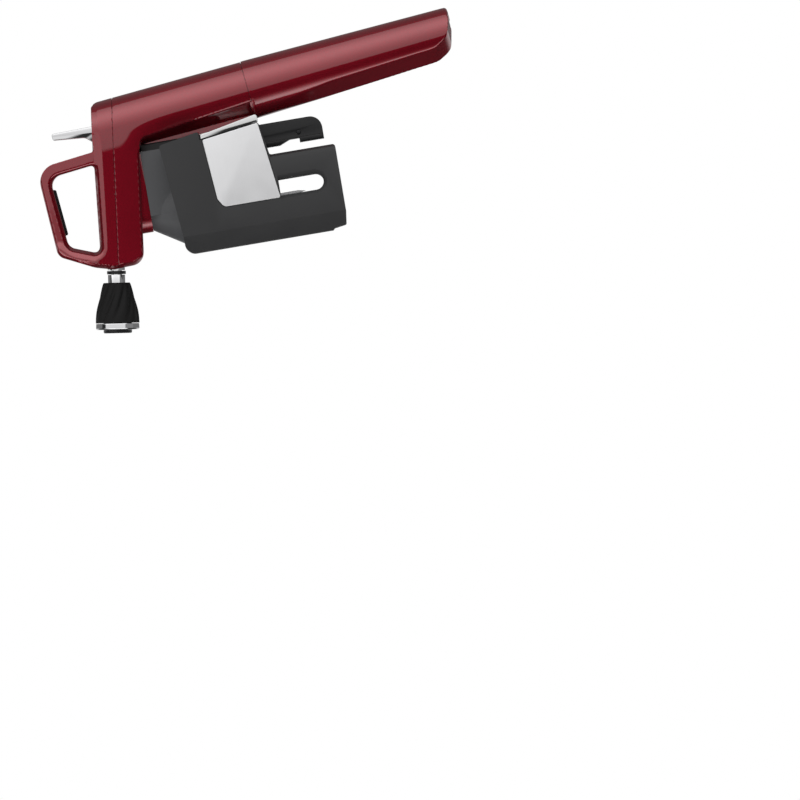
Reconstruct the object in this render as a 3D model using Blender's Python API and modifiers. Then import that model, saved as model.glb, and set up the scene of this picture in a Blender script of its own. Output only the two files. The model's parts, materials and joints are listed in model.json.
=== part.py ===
"""Wine preservation dispenser: a clamp that grips a neck of 30 mm, and a head with
a needle, a trigger, a spout and a gas capsule that slides on the clamp's rail.

Metres, +Z up. The origin is the centre of the gripped neck's lip, on its axis.
+Z leads out of the neck, +X towards the capsule tube, and Y = 0 is the plane of
symmetry. The spout points to -X and leans a little to +Z.
"""

import math

import bmesh
import bpy
from mathutils import Matrix, Vector

# Fits and cuts
FIT_GAP = 0.0003
CUT_OVERRUN = 0.0060
MERGE_DISTANCE = 0.00001
ROUND_END_SHARE = 0.98

# The neck that the clamp is made for
LIP_RADIUS = 0.0148
LIP_CLEARANCE = 0.0010
NECK_GRIP_RADIUS = 0.0150

# Clamp core
SKIRT_WALL = 0.0025
SKIRT_DEPTH = 0.0110
SEAT_THICKNESS = 0.0020
CORE_HEIGHT = 0.0193
CORE_TOP_RADIUS = 0.0070
CORE_SHOULDER_HEIGHT = 0.0012
GUIDE_RADIUS = 0.0050
GUIDE_HEIGHT = 0.0075

# Guide rail, a T in section with its flange next to the neck
CHANNEL_FLOOR = 0.0052
RAIL_FLANGE_THICKNESS = 0.0027
RAIL_DEPTH = 0.0118
RAIL_WEB_WIDTH = 0.0100
RAIL_FLANGE_WIDTH = 0.0150
RAIL_REACH = 0.0710
RAIL_NOTCH_START = 0.0490
RAIL_NOTCH_LENGTH = 0.0100
RAIL_NOTCH_DEPTH = 0.0021
RAIL_NOTCH_RAMP = 0.0051
RAIL_END_RADIUS = 0.0060
STOP_PIN_RADIUS = 0.0009
CHANNEL_WALL = 0.0025
CORE_BLOCK_DEPTH = 0.0082

# Rail collar, with a roof over each jaw
COLLAR_LENGTH = 0.0289
COLLAR_FLOOR = 0.0024
ROOF_RISE = 0.0096
ROOF_THICKNESS = 0.0019
ROOF_END_THICKNESS = 0.0038
ROOF_LEAN_DEG = 7.7
ROOF_CORNER = 0.0012
ROOF_INSET = 0.0006
TAB_HALF_LENGTH = 0.0026
CRADLE_CLEARANCE = 0.0009

# Jaws, their pins, springs, plates and pads
JAW_HALF_WIDTH = 0.0248
JAW_WALL = 0.0025
JAW_FRONT = 0.0216
JAW_CHAMFER_START = 0.0130
JAW_CHAMFER_HALF_WIDTH = 0.0145
JAW_LIP_HALF_WIDTH = 0.0080
JAW_TAB_FRONT_TOP = 0.0050
JAW_TAB_BACK_TOP = 0.0096
JAW_TAB_BACK = 0.0332
JAW_TAB_STEP = 0.0036
JAW_TAB_INNER_HALF_WIDTH = 0.0152
JAW_STEP_DROP = 0.0105
JAW_FLARE_DEG = 7.0
JAW_FLARE_START = 0.0120
JAW_BACK_DROP = 0.0403
LEG_BACK = 0.0200
LEG_START = 0.0432
LEG_END = 0.0757
LEG_CORNER = 0.0034
JAW_CORNER = 0.0014
JAW_FRONT_CORNER = 0.0046
JAW_HEEL_LENGTH = 0.0077
JAW_HEEL_RISE = 0.0009
SLOT_FLOOR = -0.0008
SLOT_WIDTH = 0.0082
SLOT_START = 0.0452
SLOT_END = 0.0673
SLOT_RIM = 0.0018
PIN_RADIUS = 0.0012
PIN_HALF_SPACING = 0.0195
PIN_DROP = 0.0250
PIN_FRONT = 0.0118
KNUCKLE_RADIUS = 0.0033
KNUCKLE_LENGTH = 0.0036
KNUCKLE_BACK = 0.0275
EAR_LENGTH = 0.0026
EAR_HALF_HEIGHT = 0.0030
EAR_STRAP = 0.0022
JAW_SPRING_RADIUS = 0.0021
JAW_SPRING_WIRE = 0.0003
JAW_SPRING_PITCH = 0.0012
JAW_SPRING_TURNS = 7
PLATE_THICKNESS = 0.0011
PLATE_RECESS = 0.0010
PLATE_LENGTH = 0.0287
PLATE_FRONT = 0.0016
PLATE_CORNER = 0.0032
PAD_THICKNESS = 0.0019
PAD_LENGTH = 0.0280
PAD_ARC_DEG = 104.0

# Capsule tube of the head
TUBE_LEAN_DEG = 6.36
TUBE_RADIUS = 0.0143
TUBE_HEAD_RADIUS = 0.0148
TUBE_KEEL = 0.0122
TUBE_HEAD_KEEL = 0.0110
TUBE_CLEARANCE = 0.0004
HOUSING_LENGTH = 0.0690
CREASE_DROP = 0.0065
HEAD_CREASE_DROP = 0.0090

# Column and finger loop, in the column's own lean
HEAD_RISE = 0.0113
COLUMN_LEAN_DEG = 7.2
COLUMN_DROP = 0.0692
COLUMN_INSET = 0.0001
COLUMN_DRAFT_DEG = 2.1
LOOP_DRAFT_DEG = 6.0
FACE_REACH = 0.0104
LOOP_REACH = 0.0384
HEAD_EDGE = 0.0022
FOOT_FRONT = 0.0077
FOOT_BACK = 0.0310
FOOT_HALF_WIDTH = 0.0087
LOOP_PAD_LENGTH = 0.0230
LOOP_PAD_WIDTH = 0.0100
LOOP_PAD_PROUD = 0.0012
LOOP_PAD_RECESS = 0.0008

# Trigger
TRIGGER_PIVOT_RISE = 0.0026
TRIGGER_PIVOT_REACH = 0.0048
TRIGGER_REACH = 0.0305
TRIGGER_WIDTH = 0.0100
TRIGGER_ROOT_DEPTH = 0.0076
TRIGGER_TIP_DEPTH = 0.0032
TRIGGER_PIN_RADIUS = 0.0010
TRIGGER_PIN_BEDDING = 0.0030
TRIGGER_BOSS_RADIUS = 0.0023
TRIGGER_NOSE_REACH = 0.0013
TRIGGER_WALL = 0.0024
TRIGGER_BOSS_SHARE = 0.9
TRIGGER_ROOT_SHARE = 0.82

# Gas valve and regulator inside the tube
STEM_RADIUS = 0.0015
STEM_FLANGE_RADIUS = 0.0028
STEM_FLANGE_THICKNESS = 0.0018
STEM_LENGTH = 0.0245
STEM_BORE_RADIUS = 0.0034
STEM_BORE_DEPTH = 0.0130
CHAMBER_RADIUS = 0.0099
VALVE_WALL = 0.0060
REGULATOR_WALL = 0.0014
REGULATOR_CAP_LENGTH = 0.0045
REGULATOR_CAP_SETBACK = 0.0030
REGULATOR_ROOF = 0.0060
PISTON_LENGTH = 0.0070
PISTON_GROOVE = 0.0018
PISTON_SEAL_RADIUS = 0.0007
REGULATOR_SPRING_RADIUS = 0.0058
REGULATOR_SPRING_WIRE = 0.0006
REGULATOR_SPRING_TURNS = 5
VALVE_SPRING_RADIUS = 0.0024
VALVE_SPRING_WIRE = 0.0003
VALVE_SPRING_TURNS = 6
PIERCER_RADIUS = 0.0010
PIERCER_LENGTH = 0.0090
CAPSULE_SEAL_RADIUS = 0.0060
CAPSULE_SEAL_THICKNESS = 0.0018

# Gas capsule and its screw-off cup
CAPSULE_RADIUS = 0.0093
CAPSULE_LENGTH = 0.0660
CAPSULE_NECK_RADIUS = 0.0042
CAPSULE_NECK_LENGTH = 0.0080
CAPSULE_SHOULDER = 0.0070
CUP_RADIUS = 0.0146
CUP_END_RADIUS = 0.0125
CUP_LENGTH = 0.1050
CUP_END_CORNER = 0.0016
CUP_BORE_CLEARANCE = 0.0006
SPIGOT_RADIUS = 0.0110
SPIGOT_LENGTH = 0.0080
CUSHION_THICKNESS = 0.0030
GRIP_START = 0.0080
GRIP_RUN = 0.0400
GRIP_DEPTH = 0.0017
GRIP_TURN_DEG = 60.0

# Spout, needle and aerator
SPOUT_LEAN_DEG = 8.2
SPOUT_RADIUS = 0.0042
SPOUT_NOSE_RADIUS = 0.0027
SPOUT_BORE_RADIUS = 0.0014
SPOUT_DEPTH = 0.0090
SPOUT_STUB = 0.0008
SPOUT_NOSE_LENGTH = 0.0130
SPOUT_FORWARD = 0.0013
SEAL_GROOVE_DEPTH = 0.0008
SEAL_GROOVE_START = 0.0100
SEAL_GROOVE_WIDTH = 0.0016
NEEDLE_RADIUS = 0.00075
NEEDLE_REACH = 0.0580
NEEDLE_TIP = 0.0040
HUB_RADIUS = 0.0032
HUB_LENGTH = 0.0110
HUB_STUD_RADIUS = 0.0024
HUB_STUD_LENGTH = 0.0070
AERATOR_COLLAR_RADIUS = 0.00465
AERATOR_COLLAR_LENGTH = 0.0016
AERATOR_TUBE_RADIUS = 0.00425
AERATOR_TUBE_SHOWN = 0.0039
AERATOR_TUBE_LENGTH = 0.0125
AERATOR_LENGTH = 0.0198
AERATOR_TOP_RADIUS = 0.0067
AERATOR_END_RADIUS = 0.0108
AERATOR_WALL = 0.0022
AERATOR_CHAMBER_DEPTH = 0.0110
AERATOR_TWIST_DEG = 46.0
AERATOR_FLUTES = 10
AERATOR_FLUTE_DEPTH = 0.0005
RING_LENGTH = 0.0031
RING_BORE_RADIUS = 0.0073
SCREEN_PROUD = 0.0016
SCREEN_FLANGE = 0.0012
SCREEN_HOLE_RADIUS = 0.0006
SCREEN_HOLES = 8

# Sides of round pieces
FINE_SIDES = 48
ROUND_SIDES = 36
INNER_SIDES = 24
SMALL_SIDES = 20
COIL_POINTS = 8

# Places derived from the sizes above
RECESS_RADIUS = LIP_RADIUS + LIP_CLEARANCE
SKIRT_RADIUS = RECESS_RADIUS + SKIRT_WALL
RAIL_FRONT = SKIRT_RADIUS + CHANNEL_FLOOR + FIT_GAP
RAIL_BACK = RAIL_FRONT + RAIL_DEPTH
CORE_BLOCK_BACK = RAIL_FRONT + CORE_BLOCK_DEPTH
CHANNEL_HALF_WIDTH = RAIL_FLANGE_WIDTH / 2 + FIT_GAP + CHANNEL_WALL
COLLAR_START = -SKIRT_DEPTH - FIT_GAP
COLLAR_END = COLLAR_START - COLLAR_LENGTH

CHAMBER_DEPTH = HOUSING_LENGTH - STEM_BORE_DEPTH - VALVE_WALL
COLUMN_HALF_WIDTH = TUBE_HEAD_RADIUS - COLUMN_INSET
TUBE_LEAN = math.radians(TUBE_LEAN_DEG)
COLUMN_LEAN = math.radians(COLUMN_LEAN_DEG)
SPOUT_LEAN = math.radians(SPOUT_LEAN_DEG)
TUBE_HEIGHT = RAIL_BACK + TUBE_CLEARANCE + TUBE_HEAD_KEEL
HEAD_CENTRE = Vector((TUBE_HEIGHT - HEAD_RISE * math.tan(TUBE_LEAN), 0, CORE_HEIGHT + HEAD_RISE))
TUBE_DIR = Vector((math.sin(TUBE_LEAN), 0, -math.cos(TUBE_LEAN)))
TUBE_UP = Vector((math.cos(TUBE_LEAN), 0, math.sin(TUBE_LEAN)))
DOWN_DIR = Vector((-math.cos(COLUMN_LEAN), 0, math.sin(COLUMN_LEAN)))
FRONT_DIR = Vector((math.sin(COLUMN_LEAN), 0, math.cos(COLUMN_LEAN)))
SPOUT_DIR = Vector((-math.cos(SPOUT_LEAN), 0, math.sin(SPOUT_LEAN)))
ACROSS = Vector((0, 1, 0))
SEAM = HEAD_CENTRE + HOUSING_LENGTH * TUBE_DIR
COLUMN_BACK = -(Vector((CORE_BLOCK_BACK, 0, CORE_HEIGHT + FIT_GAP)) - HEAD_CENTRE).dot(FRONT_DIR)
SPOUT_FOOT = HEAD_CENTRE + (COLUMN_DROP - FIT_GAP) * DOWN_DIR + SPOUT_FORWARD * FRONT_DIR
TRIGGER_PIVOT = HEAD_CENTRE - TRIGGER_PIVOT_RISE * DOWN_DIR + TRIGGER_PIVOT_REACH * FRONT_DIR

# Collections and the empties that carry the moving pieces
for old in list(bpy.data.objects):
    bpy.data.objects.remove(old, do_unlink=True)
PARTS = bpy.data.collections.new("wine_dispenser")
CUTTERS = bpy.data.collections.new("cutters")
bpy.context.scene.collection.children.link(PARTS)
bpy.context.scene.collection.children.link(CUTTERS)


def frame(origin, x_axis, y_axis):
    """Matrix of a right-handed frame from its origin and first two axes."""
    z_axis = x_axis.cross(y_axis)
    rows = Matrix((x_axis, y_axis, z_axis)).transposed().to_4x4()
    return Matrix.Translation(origin) @ rows


def along(origin, direction):
    """Frame whose Z runs along a direction in the plane of symmetry."""
    return frame(origin, ACROSS.cross(direction), ACROSS)


WORLD = Matrix.Identity(4)
SIDE_VIEW = frame(Vector((0, 0, 0)), Vector((1, 0, 0)), Vector((0, 0, 1)))
TUBE_SIDE = frame(SEAM, TUBE_DIR, TUBE_UP)
COLUMN_SIDE = frame(HEAD_CENTRE, DOWN_DIR, FRONT_DIR)
TUBE_AXIS = along(SEAM, TUBE_DIR)
SPOUT_AXIS = along(SPOUT_FOOT, SPOUT_DIR)


def material(name, colour, roughness, metallic=0.0):
    """Plain Principled material with the piece's own colour and gloss."""
    made = bpy.data.materials.new(name)
    made.use_nodes = True
    shader = made.node_tree.nodes["Principled BSDF"]
    shader.inputs["Base Color"].default_value = (*colour, 1.0)
    shader.inputs["Roughness"].default_value = roughness
    shader.inputs["Metallic"].default_value = metallic
    return made


BURGUNDY = material("burgundy_paint", (0.110, 0.006, 0.018), 0.25, 0.4)
DARK_GREY = material("dark_grey_plastic", (0.045, 0.045, 0.048), 0.45)
MID_GREY = material("mid_grey_plastic", (0.090, 0.090, 0.095), 0.45)
BLACK = material("black_plastic", (0.012, 0.012, 0.013), 0.35)
RUBBER = material("black_rubber", (0.016, 0.016, 0.016), 0.7)
SILVER = material("satin_silver", (0.68, 0.68, 0.69), 0.32, 1.0)
CHROME = material("chrome", (0.80, 0.80, 0.82), 0.08, 1.0)
STEEL = material("steel", (0.55, 0.55, 0.56), 0.25, 1.0)
BRASS = material("brass", (0.70, 0.52, 0.25), 0.3, 1.0)
WHITE = material("white_plastic", (0.75, 0.75, 0.73), 0.4)


def carrier(name, place, parent=None):
    """Empty on a joint's axis, which carries the pieces of one moving body."""
    empty = bpy.data.objects.new(name, None)
    PARTS.objects.link(empty)
    empty.matrix_world = place
    if parent is not None:
        empty.parent = parent
        empty.matrix_parent_inverse = parent.matrix_world.inverted()
    bpy.context.view_layer.update()
    return empty


def keep(piece, name, finish, body):
    """Name a finished piece, give it its finish and hang it on its body."""
    piece.name = name
    piece.data.name = name
    piece.data.materials.clear()
    piece.data.materials.append(finish)
    for collection in list(piece.users_collection):
        collection.objects.unlink(piece)
    PARTS.objects.link(piece)
    piece.hide_render = False
    piece.display_type = 'TEXTURED'
    piece.parent = body
    piece.matrix_parent_inverse = body.matrix_world.inverted()
    return piece


def add_mesh(name, mesh):
    """Object for a mesh, kept among the cutters until it becomes a part."""
    made = bpy.data.objects.new(name, mesh)
    CUTTERS.objects.link(made)
    made.hide_render = True
    made.display_type = 'WIRE'
    return made


def settled(source):
    """Mesh object of a piece as its modifiers leave it; the source goes."""
    bpy.context.view_layer.update()
    graph = bpy.context.evaluated_depsgraph_get()
    mesh = bpy.data.meshes.new_from_object(source.evaluated_get(graph))
    mesh.transform(source.matrix_world)
    made = add_mesh(source.name, mesh)
    bpy.data.objects.remove(source, do_unlink=True)
    return made


def edited(piece, change):
    """Run a change on a piece's mesh through bmesh."""
    work = bmesh.new()
    work.from_mesh(piece.data)
    change(work)
    work.to_mesh(piece.data)
    work.free()
    return piece


def weld(work):
    """Join the loose caps of a curve's mesh and merge its flat triangles."""
    bmesh.ops.remove_doubles(work, verts=work.verts, dist=MERGE_DISTANCE / 3)
    bmesh.ops.dissolve_limit(work, angle_limit=math.radians(0.2), verts=work.verts, edges=work.edges)


def rounded(corners, sides=8):
    """Outline through corners (x, y, radius), each turned into an arc."""
    points = []
    count = len(corners)
    for index, (x, y, radius) in enumerate(corners):
        here = Vector((x, y))
        before = (Vector(corners[index - 1][:2]) - here).normalized()
        after = (Vector(corners[(index + 1) % count][:2]) - here).normalized()
        if radius <= 0:
            points.append(here)
            continue
        half = before.angle(after) / 2
        centre = here + (before + after).normalized() * radius / math.sin(half)
        start = here + before * radius / math.tan(half) - centre
        sweep = start.angle_signed(here + after * radius / math.tan(half) - centre)
        for step in range(sides + 1):
            turned_by = Matrix.Rotation(-sweep * step / sides, 2)
            points.append(centre + turned_by @ start)
    return points


def outline(name, loops, half_depth, place):
    """Flat outline with holes, filled and extruded both ways."""
    curve = bpy.data.curves.new(name, 'CURVE')
    curve.dimensions = '2D'
    curve.fill_mode = 'BOTH'
    curve.extrude = half_depth
    for loop in loops:
        spline = curve.splines.new('POLY')
        spline.points.add(len(loop) - 1)
        for point, spot in zip(spline.points, loop):
            point.co = (spot[0], spot[1], 0, 1)
        spline.use_cyclic_u = True
    drawn = bpy.data.objects.new(name, curve)
    CUTTERS.objects.link(drawn)
    made = settled(drawn)
    edited(made, weld)
    made.data.transform(place)
    return made


def turned(name, profile, place, sides=ROUND_SIDES, closed=False):
    """Turned piece: (radius, height) points, top to bottom down the outer side."""
    count = len(profile)
    pairs = [(index, index + 1) for index in range(count - 1)]
    if closed:
        pairs.append((count - 1, 0))
    mesh = bpy.data.meshes.new(name)
    mesh.from_pydata([(radius, 0, height) for radius, height in profile], pairs, [])
    drawn = bpy.data.objects.new(name, mesh)
    CUTTERS.objects.link(drawn)
    screw = drawn.modifiers.new("turn", 'SCREW')
    screw.steps = sides
    screw.render_steps = sides
    screw.use_merge_vertices = True
    screw.merge_threshold = MERGE_DISTANCE
    made = settled(drawn)
    edited(made, weld)
    made.data.transform(place)
    return made


def block(name, low, high, place=WORLD):
    """Box between two corners of a frame."""
    low = Vector(low)
    high = Vector(high)
    work = bmesh.new()
    size = high - low
    stretch = Matrix.Translation((low + high) / 2) @ Matrix.Diagonal((*size, 1))
    bmesh.ops.create_cube(work, size=1, matrix=place @ stretch)
    mesh = bpy.data.meshes.new(name)
    work.to_mesh(mesh)
    work.free()
    return add_mesh(name, mesh)


def rod(name, radius, low, high, place, sides=SMALL_SIDES):
    """Cylinder along a frame's Z between two heights."""
    work = bmesh.new()
    centre = place @ Matrix.Translation((0, 0, (low + high) / 2))
    bmesh.ops.create_cone(work, cap_ends=True, segments=sides, radius1=radius,
                          radius2=radius, depth=high - low, matrix=centre)
    mesh = bpy.data.meshes.new(name)
    work.to_mesh(mesh)
    work.free()
    return add_mesh(name, mesh)


def loft(name, rings, place):
    """Skin rings of the same number of points and close both ends."""
    work = bmesh.new()
    rows = [[work.verts.new(place @ Vector(spot)) for spot in ring] for ring in rings]
    count = len(rows[0])
    for low, high in zip(rows, rows[1:]):
        for step in range(count):
            after = (step + 1) % count
            work.faces.new((low[step], low[after], high[after], high[step]))
    work.faces.new(rows[0][::-1])
    work.faces.new(rows[-1])
    bmesh.ops.recalc_face_normals(work, faces=work.faces)
    mesh = bpy.data.meshes.new(name)
    work.to_mesh(mesh)
    work.free()
    return add_mesh(name, mesh)


def coil(name, radius, wire, pitch, turns, start, place):
    """Spring of one unbroken wire, with flat closed ends."""
    per_turn = COIL_POINTS
    curve = bpy.data.curves.new(name, 'CURVE')
    curve.dimensions = '3D'
    curve.bevel_depth = wire
    curve.bevel_resolution = 1
    curve.use_fill_caps = True
    spline = curve.splines.new('POLY')
    count = turns * per_turn + 1
    spline.points.add(count - 1)
    spots = []
    for index in range(count):
        angle = math.tau * index / per_turn
        height = start + pitch * index / per_turn
        spots.append(Vector((radius * math.cos(angle), radius * math.sin(angle), height)))
        spline.points[index].co = (*spots[-1], 1)
    drawn = bpy.data.objects.new(name, curve)
    CUTTERS.objects.link(drawn)
    nearest = min((spots[i] - spots[j]).length for i in range(count)
                  for j in range(i + per_turn // 2, count))
    print(name, "least gap to itself, mm:", round((nearest - 2 * wire) * 1000, 3))
    made = settled(drawn)
    edited(made, weld)
    made.data.transform(place)
    return made


def boolean(piece, tool, operation):
    """Live Boolean of a piece with a tool, or with several tools."""
    tools = tool if isinstance(tool, (list, tuple)) else [tool]
    for one in tools:
        step = piece.modifiers.new(one.name, 'BOOLEAN')
        step.operation = operation
        step.object = one
    return piece


def cut(piece, tool):
    """Take tools out of a piece."""
    return boolean(piece, tool, 'DIFFERENCE')


def join(piece, tool):
    """Fuse tools into a piece."""
    return boolean(piece, tool, 'UNION')


def meet(piece, tool):
    """Keep only what a piece shares with tools."""
    return boolean(piece, tool, 'INTERSECT')


def soften(piece, width, sides=2, angle=40):
    """Round a piece's sharp edges."""
    step = piece.modifiers.new("edges", 'BEVEL')
    step.width = width
    step.segments = sides
    step.limit_method = 'ANGLE'
    step.angle_limit = math.radians(angle)
    return piece


def shade(piece, angle=35):
    """Smooth shading that keeps the sharp edges."""
    piece.data.shade_smooth()
    piece.data.set_sharp_from_angle(angle=math.radians(angle))
    return piece


def mirrored(piece):
    """Turn a piece into its mirror image across the plane of symmetry."""

    def flip(work):
        bmesh.ops.scale(work, vec=(1, -1, 1), verts=work.verts)
        bmesh.ops.reverse_faces(work, faces=work.faces)

    return edited(piece, flip)


def pin_frame(side):
    """A jaw's pin axis, with Z along +X."""
    return frame(Vector((0, side * PIN_HALF_SPACING, -PIN_DROP)), ACROSS, Vector((0, 0, 1)))


# Clamp core
def make_core(body):
    """Cone over the neck's lip, with the rail's channel and two ears for each pin."""
    profile = [(0, CORE_HEIGHT), (CORE_TOP_RADIUS, CORE_HEIGHT),
               (SKIRT_RADIUS, CORE_SHOULDER_HEIGHT), (SKIRT_RADIUS, -SKIRT_DEPTH),
               (0, -SKIRT_DEPTH)]
    core = turned("core_cone", profile, WORLD, FINE_SIDES)
    guide = block("core_guide", (0, -CHANNEL_HALF_WIDTH, -SKIRT_DEPTH),
                  (CORE_BLOCK_BACK, CHANNEL_HALF_WIDTH, CORE_HEIGHT))
    join(core, guide)
    for side in (-1, 1):
        inner = side * (PIN_HALF_SPACING - PIN_RADIUS - FIT_GAP * 3 - EAR_STRAP / 3)
        outer = side * (PIN_HALF_SPACING + PIN_RADIUS + FIT_GAP * 3)
        strap = inner + side * EAR_STRAP
        low = PIN_FRONT - EAR_LENGTH
        ear = block("core_ear", (-PIN_FRONT, min(inner, outer), -PIN_DROP - EAR_HALF_HEIGHT),
                    (-low, max(inner, outer), -PIN_DROP + EAR_HALF_HEIGHT))
        root = side * (SKIRT_RADIUS - SKIRT_WALL) * math.cos(math.asin(PIN_FRONT / SKIRT_RADIUS))
        arm = block("core_arm", (-PIN_FRONT, min(inner, strap), -PIN_DROP),
                    (-low, max(inner, strap), CORE_SHOULDER_HEIGHT - SKIRT_DEPTH / 3))
        web = block("core_web", (-PIN_FRONT, min(root, strap), SKIRT_WALL - SKIRT_DEPTH),
                    (-low, max(root, strap), -SKIRT_DEPTH / 3))
        join(core, [ear, arm, web])
        cut(core, rod("pin_hole", PIN_RADIUS + FIT_GAP, -PIN_FRONT - CUT_OVERRUN,
                      -low + CUT_OVERRUN, pin_frame(side)))
    ceiling = SEAT_THICKNESS + FIT_GAP
    cut(core, rod("lip_recess", RECESS_RADIUS, -SKIRT_DEPTH - CUT_OVERRUN, ceiling, WORLD,
                  FINE_SIDES))
    cut(core, rod("guide_bore", GUIDE_RADIUS, -SKIRT_DEPTH, CORE_HEIGHT + CUT_OVERRUN, WORLD,
                  ROUND_SIDES))
    cut(core, channel_cutters(-SKIRT_DEPTH - CUT_OVERRUN, CORE_HEIGHT + CUT_OVERRUN,
                              CORE_BLOCK_BACK + CUT_OVERRUN))
    return keep(shade(core), "clamp_core", MID_GREY, body)


def channel_cutters(low, high, back):
    """T-shaped channel that the rail runs in."""
    flange = RAIL_FLANGE_WIDTH / 2 + FIT_GAP
    web = RAIL_WEB_WIDTH / 2 + FIT_GAP
    top = RAIL_FRONT + RAIL_FLANGE_THICKNESS + FIT_GAP
    wide = block("channel_flange", (RAIL_FRONT - FIT_GAP, -flange, low), (top, flange, high))
    narrow = block("channel_web", (top - FIT_GAP, -web, low), (back, web, high))
    return [wide, narrow]


def make_seat(body):
    """Rubber washer that the neck's lip meets."""
    outer = RECESS_RADIUS - FIT_GAP
    inner = GUIDE_RADIUS
    washer = turned("lip_seat", [(outer, SEAT_THICKNESS), (outer, 0), (inner, 0),
                                 (inner, SEAT_THICKNESS)], WORLD, FINE_SIDES, True)
    return keep(shade(washer), "lip_seat", RUBBER, body)


def make_guide(body):
    """Bush in the core that keeps the needle on the neck's axis."""
    outer = GUIDE_RADIUS - FIT_GAP
    inner = NEEDLE_RADIUS + FIT_GAP
    foot = SEAT_THICKNESS / 5
    funnel = GUIDE_HEIGHT - outer / 2
    bush = turned("needle_guide", [(outer, GUIDE_HEIGHT), (outer, foot), (inner, foot),
                                   (inner, funnel), (outer - SKIRT_WALL / 3, GUIDE_HEIGHT)],
                  WORLD, INNER_SIDES, True)
    return keep(shade(bush), "needle_guide", WHITE, body)


# Rail collar
def roof_line(drop):
    """Height of the roof's underside at a distance below the collar's start."""
    return RAIL_FRONT - FIT_GAP + ROOF_RISE + drop * math.tan(math.radians(ROOF_LEAN_DEG))


def make_collar(body):
    """Silver hat section round the rail, with a roof over each jaw's back edge."""
    floor = RAIL_FRONT - FIT_GAP - COLLAR_FLOOR
    depth = roof_line(0) - floor
    sleeve = block("rail_collar", (floor, -CHANNEL_HALF_WIDTH, COLLAR_END),
                   (floor + depth + ROOF_THICKNESS, CHANNEL_HALF_WIDTH, COLLAR_START))
    corners = [(roof_line(0), COLLAR_START, 0),
               (roof_line(0) + ROOF_THICKNESS, COLLAR_START, 0),
               (roof_line(COLLAR_LENGTH) + ROOF_END_THICKNESS, COLLAR_END, ROOF_CORNER),
               (roof_line(COLLAR_LENGTH), COLLAR_END, ROOF_CORNER / 2)]
    roof = outline("collar_roof", [rounded(corners)], JAW_HALF_WIDTH - ROOF_INSET, SIDE_VIEW)
    join(sleeve, roof)
    low = KNUCKLE_BACK + KNUCKLE_LENGTH + FIT_GAP
    middle = roof_line(PIN_DROP + COLLAR_START)
    for side in (-1, 1):
        spots = [side * (PIN_HALF_SPACING - PIN_RADIUS * 2), side * (PIN_HALF_SPACING
                                                                      + PIN_RADIUS * 3 / 2)]
        tab = block("collar_tab", (low, min(spots), -PIN_DROP - TAB_HALF_LENGTH),
                    (middle + ROOF_THICKNESS / 2, max(spots), TAB_HALF_LENGTH - PIN_DROP))
        join(sleeve, tab)
        cut(sleeve, rod("pin_hole", PIN_RADIUS + FIT_GAP, low - CUT_OVERRUN,
                        roof_line(PIN_DROP + COLLAR_START - PIN_RADIUS), pin_frame(side)))
    cradle = rod("cradle", TUBE_HEAD_RADIUS + CRADLE_CLEARANCE, -HOUSING_LENGTH, CUP_LENGTH,
                 TUBE_AXIS, FINE_SIDES)
    cut(sleeve, cradle)
    cut(sleeve, channel_cutters(COLLAR_END - CUT_OVERRUN, COLLAR_START + CUT_OVERRUN,
                                RAIL_BACK + FIT_GAP))
    return keep(shade(sleeve), "rail_collar", SILVER, body)


# Jaws
def flare(work):
    """Lean the tab end of a jaw outwards above the flare line."""
    bmesh.ops.bisect_plane(work, geom=work.verts[:] + work.edges[:] + work.faces[:],
                           plane_co=(0, 0, -JAW_FLARE_START), plane_no=(0, 0, 1))
    slope = math.tan(math.radians(JAW_FLARE_DEG))
    for vert in work.verts:
        vert.co.y += max(0, vert.co.z + JAW_FLARE_START) * slope


def jaw_side_view():
    """Side outline of a jaw: tab, step under the roof, back edge and leg."""
    start = -COLLAR_START
    back_step = roof_line(JAW_STEP_DROP - start) - FIT_GAP
    back_end = roof_line(JAW_BACK_DROP - start) - FIT_GAP
    return [(-JAW_FRONT, JAW_TAB_FRONT_TOP, JAW_FRONT_CORNER),
            (-JAW_CHAMFER_START, JAW_TAB_FRONT_TOP, JAW_FRONT_CORNER),
            (JAW_TAB_BACK, JAW_TAB_BACK_TOP, JAW_CORNER),
            (JAW_TAB_BACK + JAW_TAB_STEP, -JAW_STEP_DROP, JAW_CORNER / 2),
            (back_step, -JAW_STEP_DROP, 0),
            (back_end, -JAW_BACK_DROP, JAW_CORNER),
            (LEG_BACK, -LEG_START, JAW_CORNER),
            (LEG_BACK, -LEG_END, JAW_CORNER),
            (-JAW_CHAMFER_START, -LEG_END, 0),
            (JAW_HEEL_RISE * 2 - JAW_FRONT, JAW_HEEL_RISE - LEG_END, JAW_HEEL_RISE),
            (JAW_HEEL_RISE - JAW_FRONT, JAW_HEEL_LENGTH - LEG_END - JAW_HEEL_RISE, 0),
            (-JAW_FRONT, JAW_HEEL_LENGTH - LEG_END, 0)]


def plate_corners(grow):
    """Silver plate's corners in side view; grow widens it into its recess."""
    back = roof_line(PLATE_LENGTH) - ROOF_INSET + grow
    start = COLLAR_START - ROOF_INSET + grow
    end = COLLAR_START - PLATE_LENGTH - grow
    front = -PLATE_FRONT - grow
    lean = (back - front) * math.tan(math.radians(ROOF_LEAN_DEG))
    return [(roof_line(0) - ROOF_INSET + grow, start, PLATE_CORNER / 4),
            (back, end, PLATE_CORNER / 4),
            (front, end - lean, PLATE_CORNER / 4),
            (front, start - lean, PLATE_CORNER),
            (PLATE_CORNER - PLATE_FRONT / 3 - grow, start - lean / 2, PLATE_CORNER / 2)]


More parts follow.
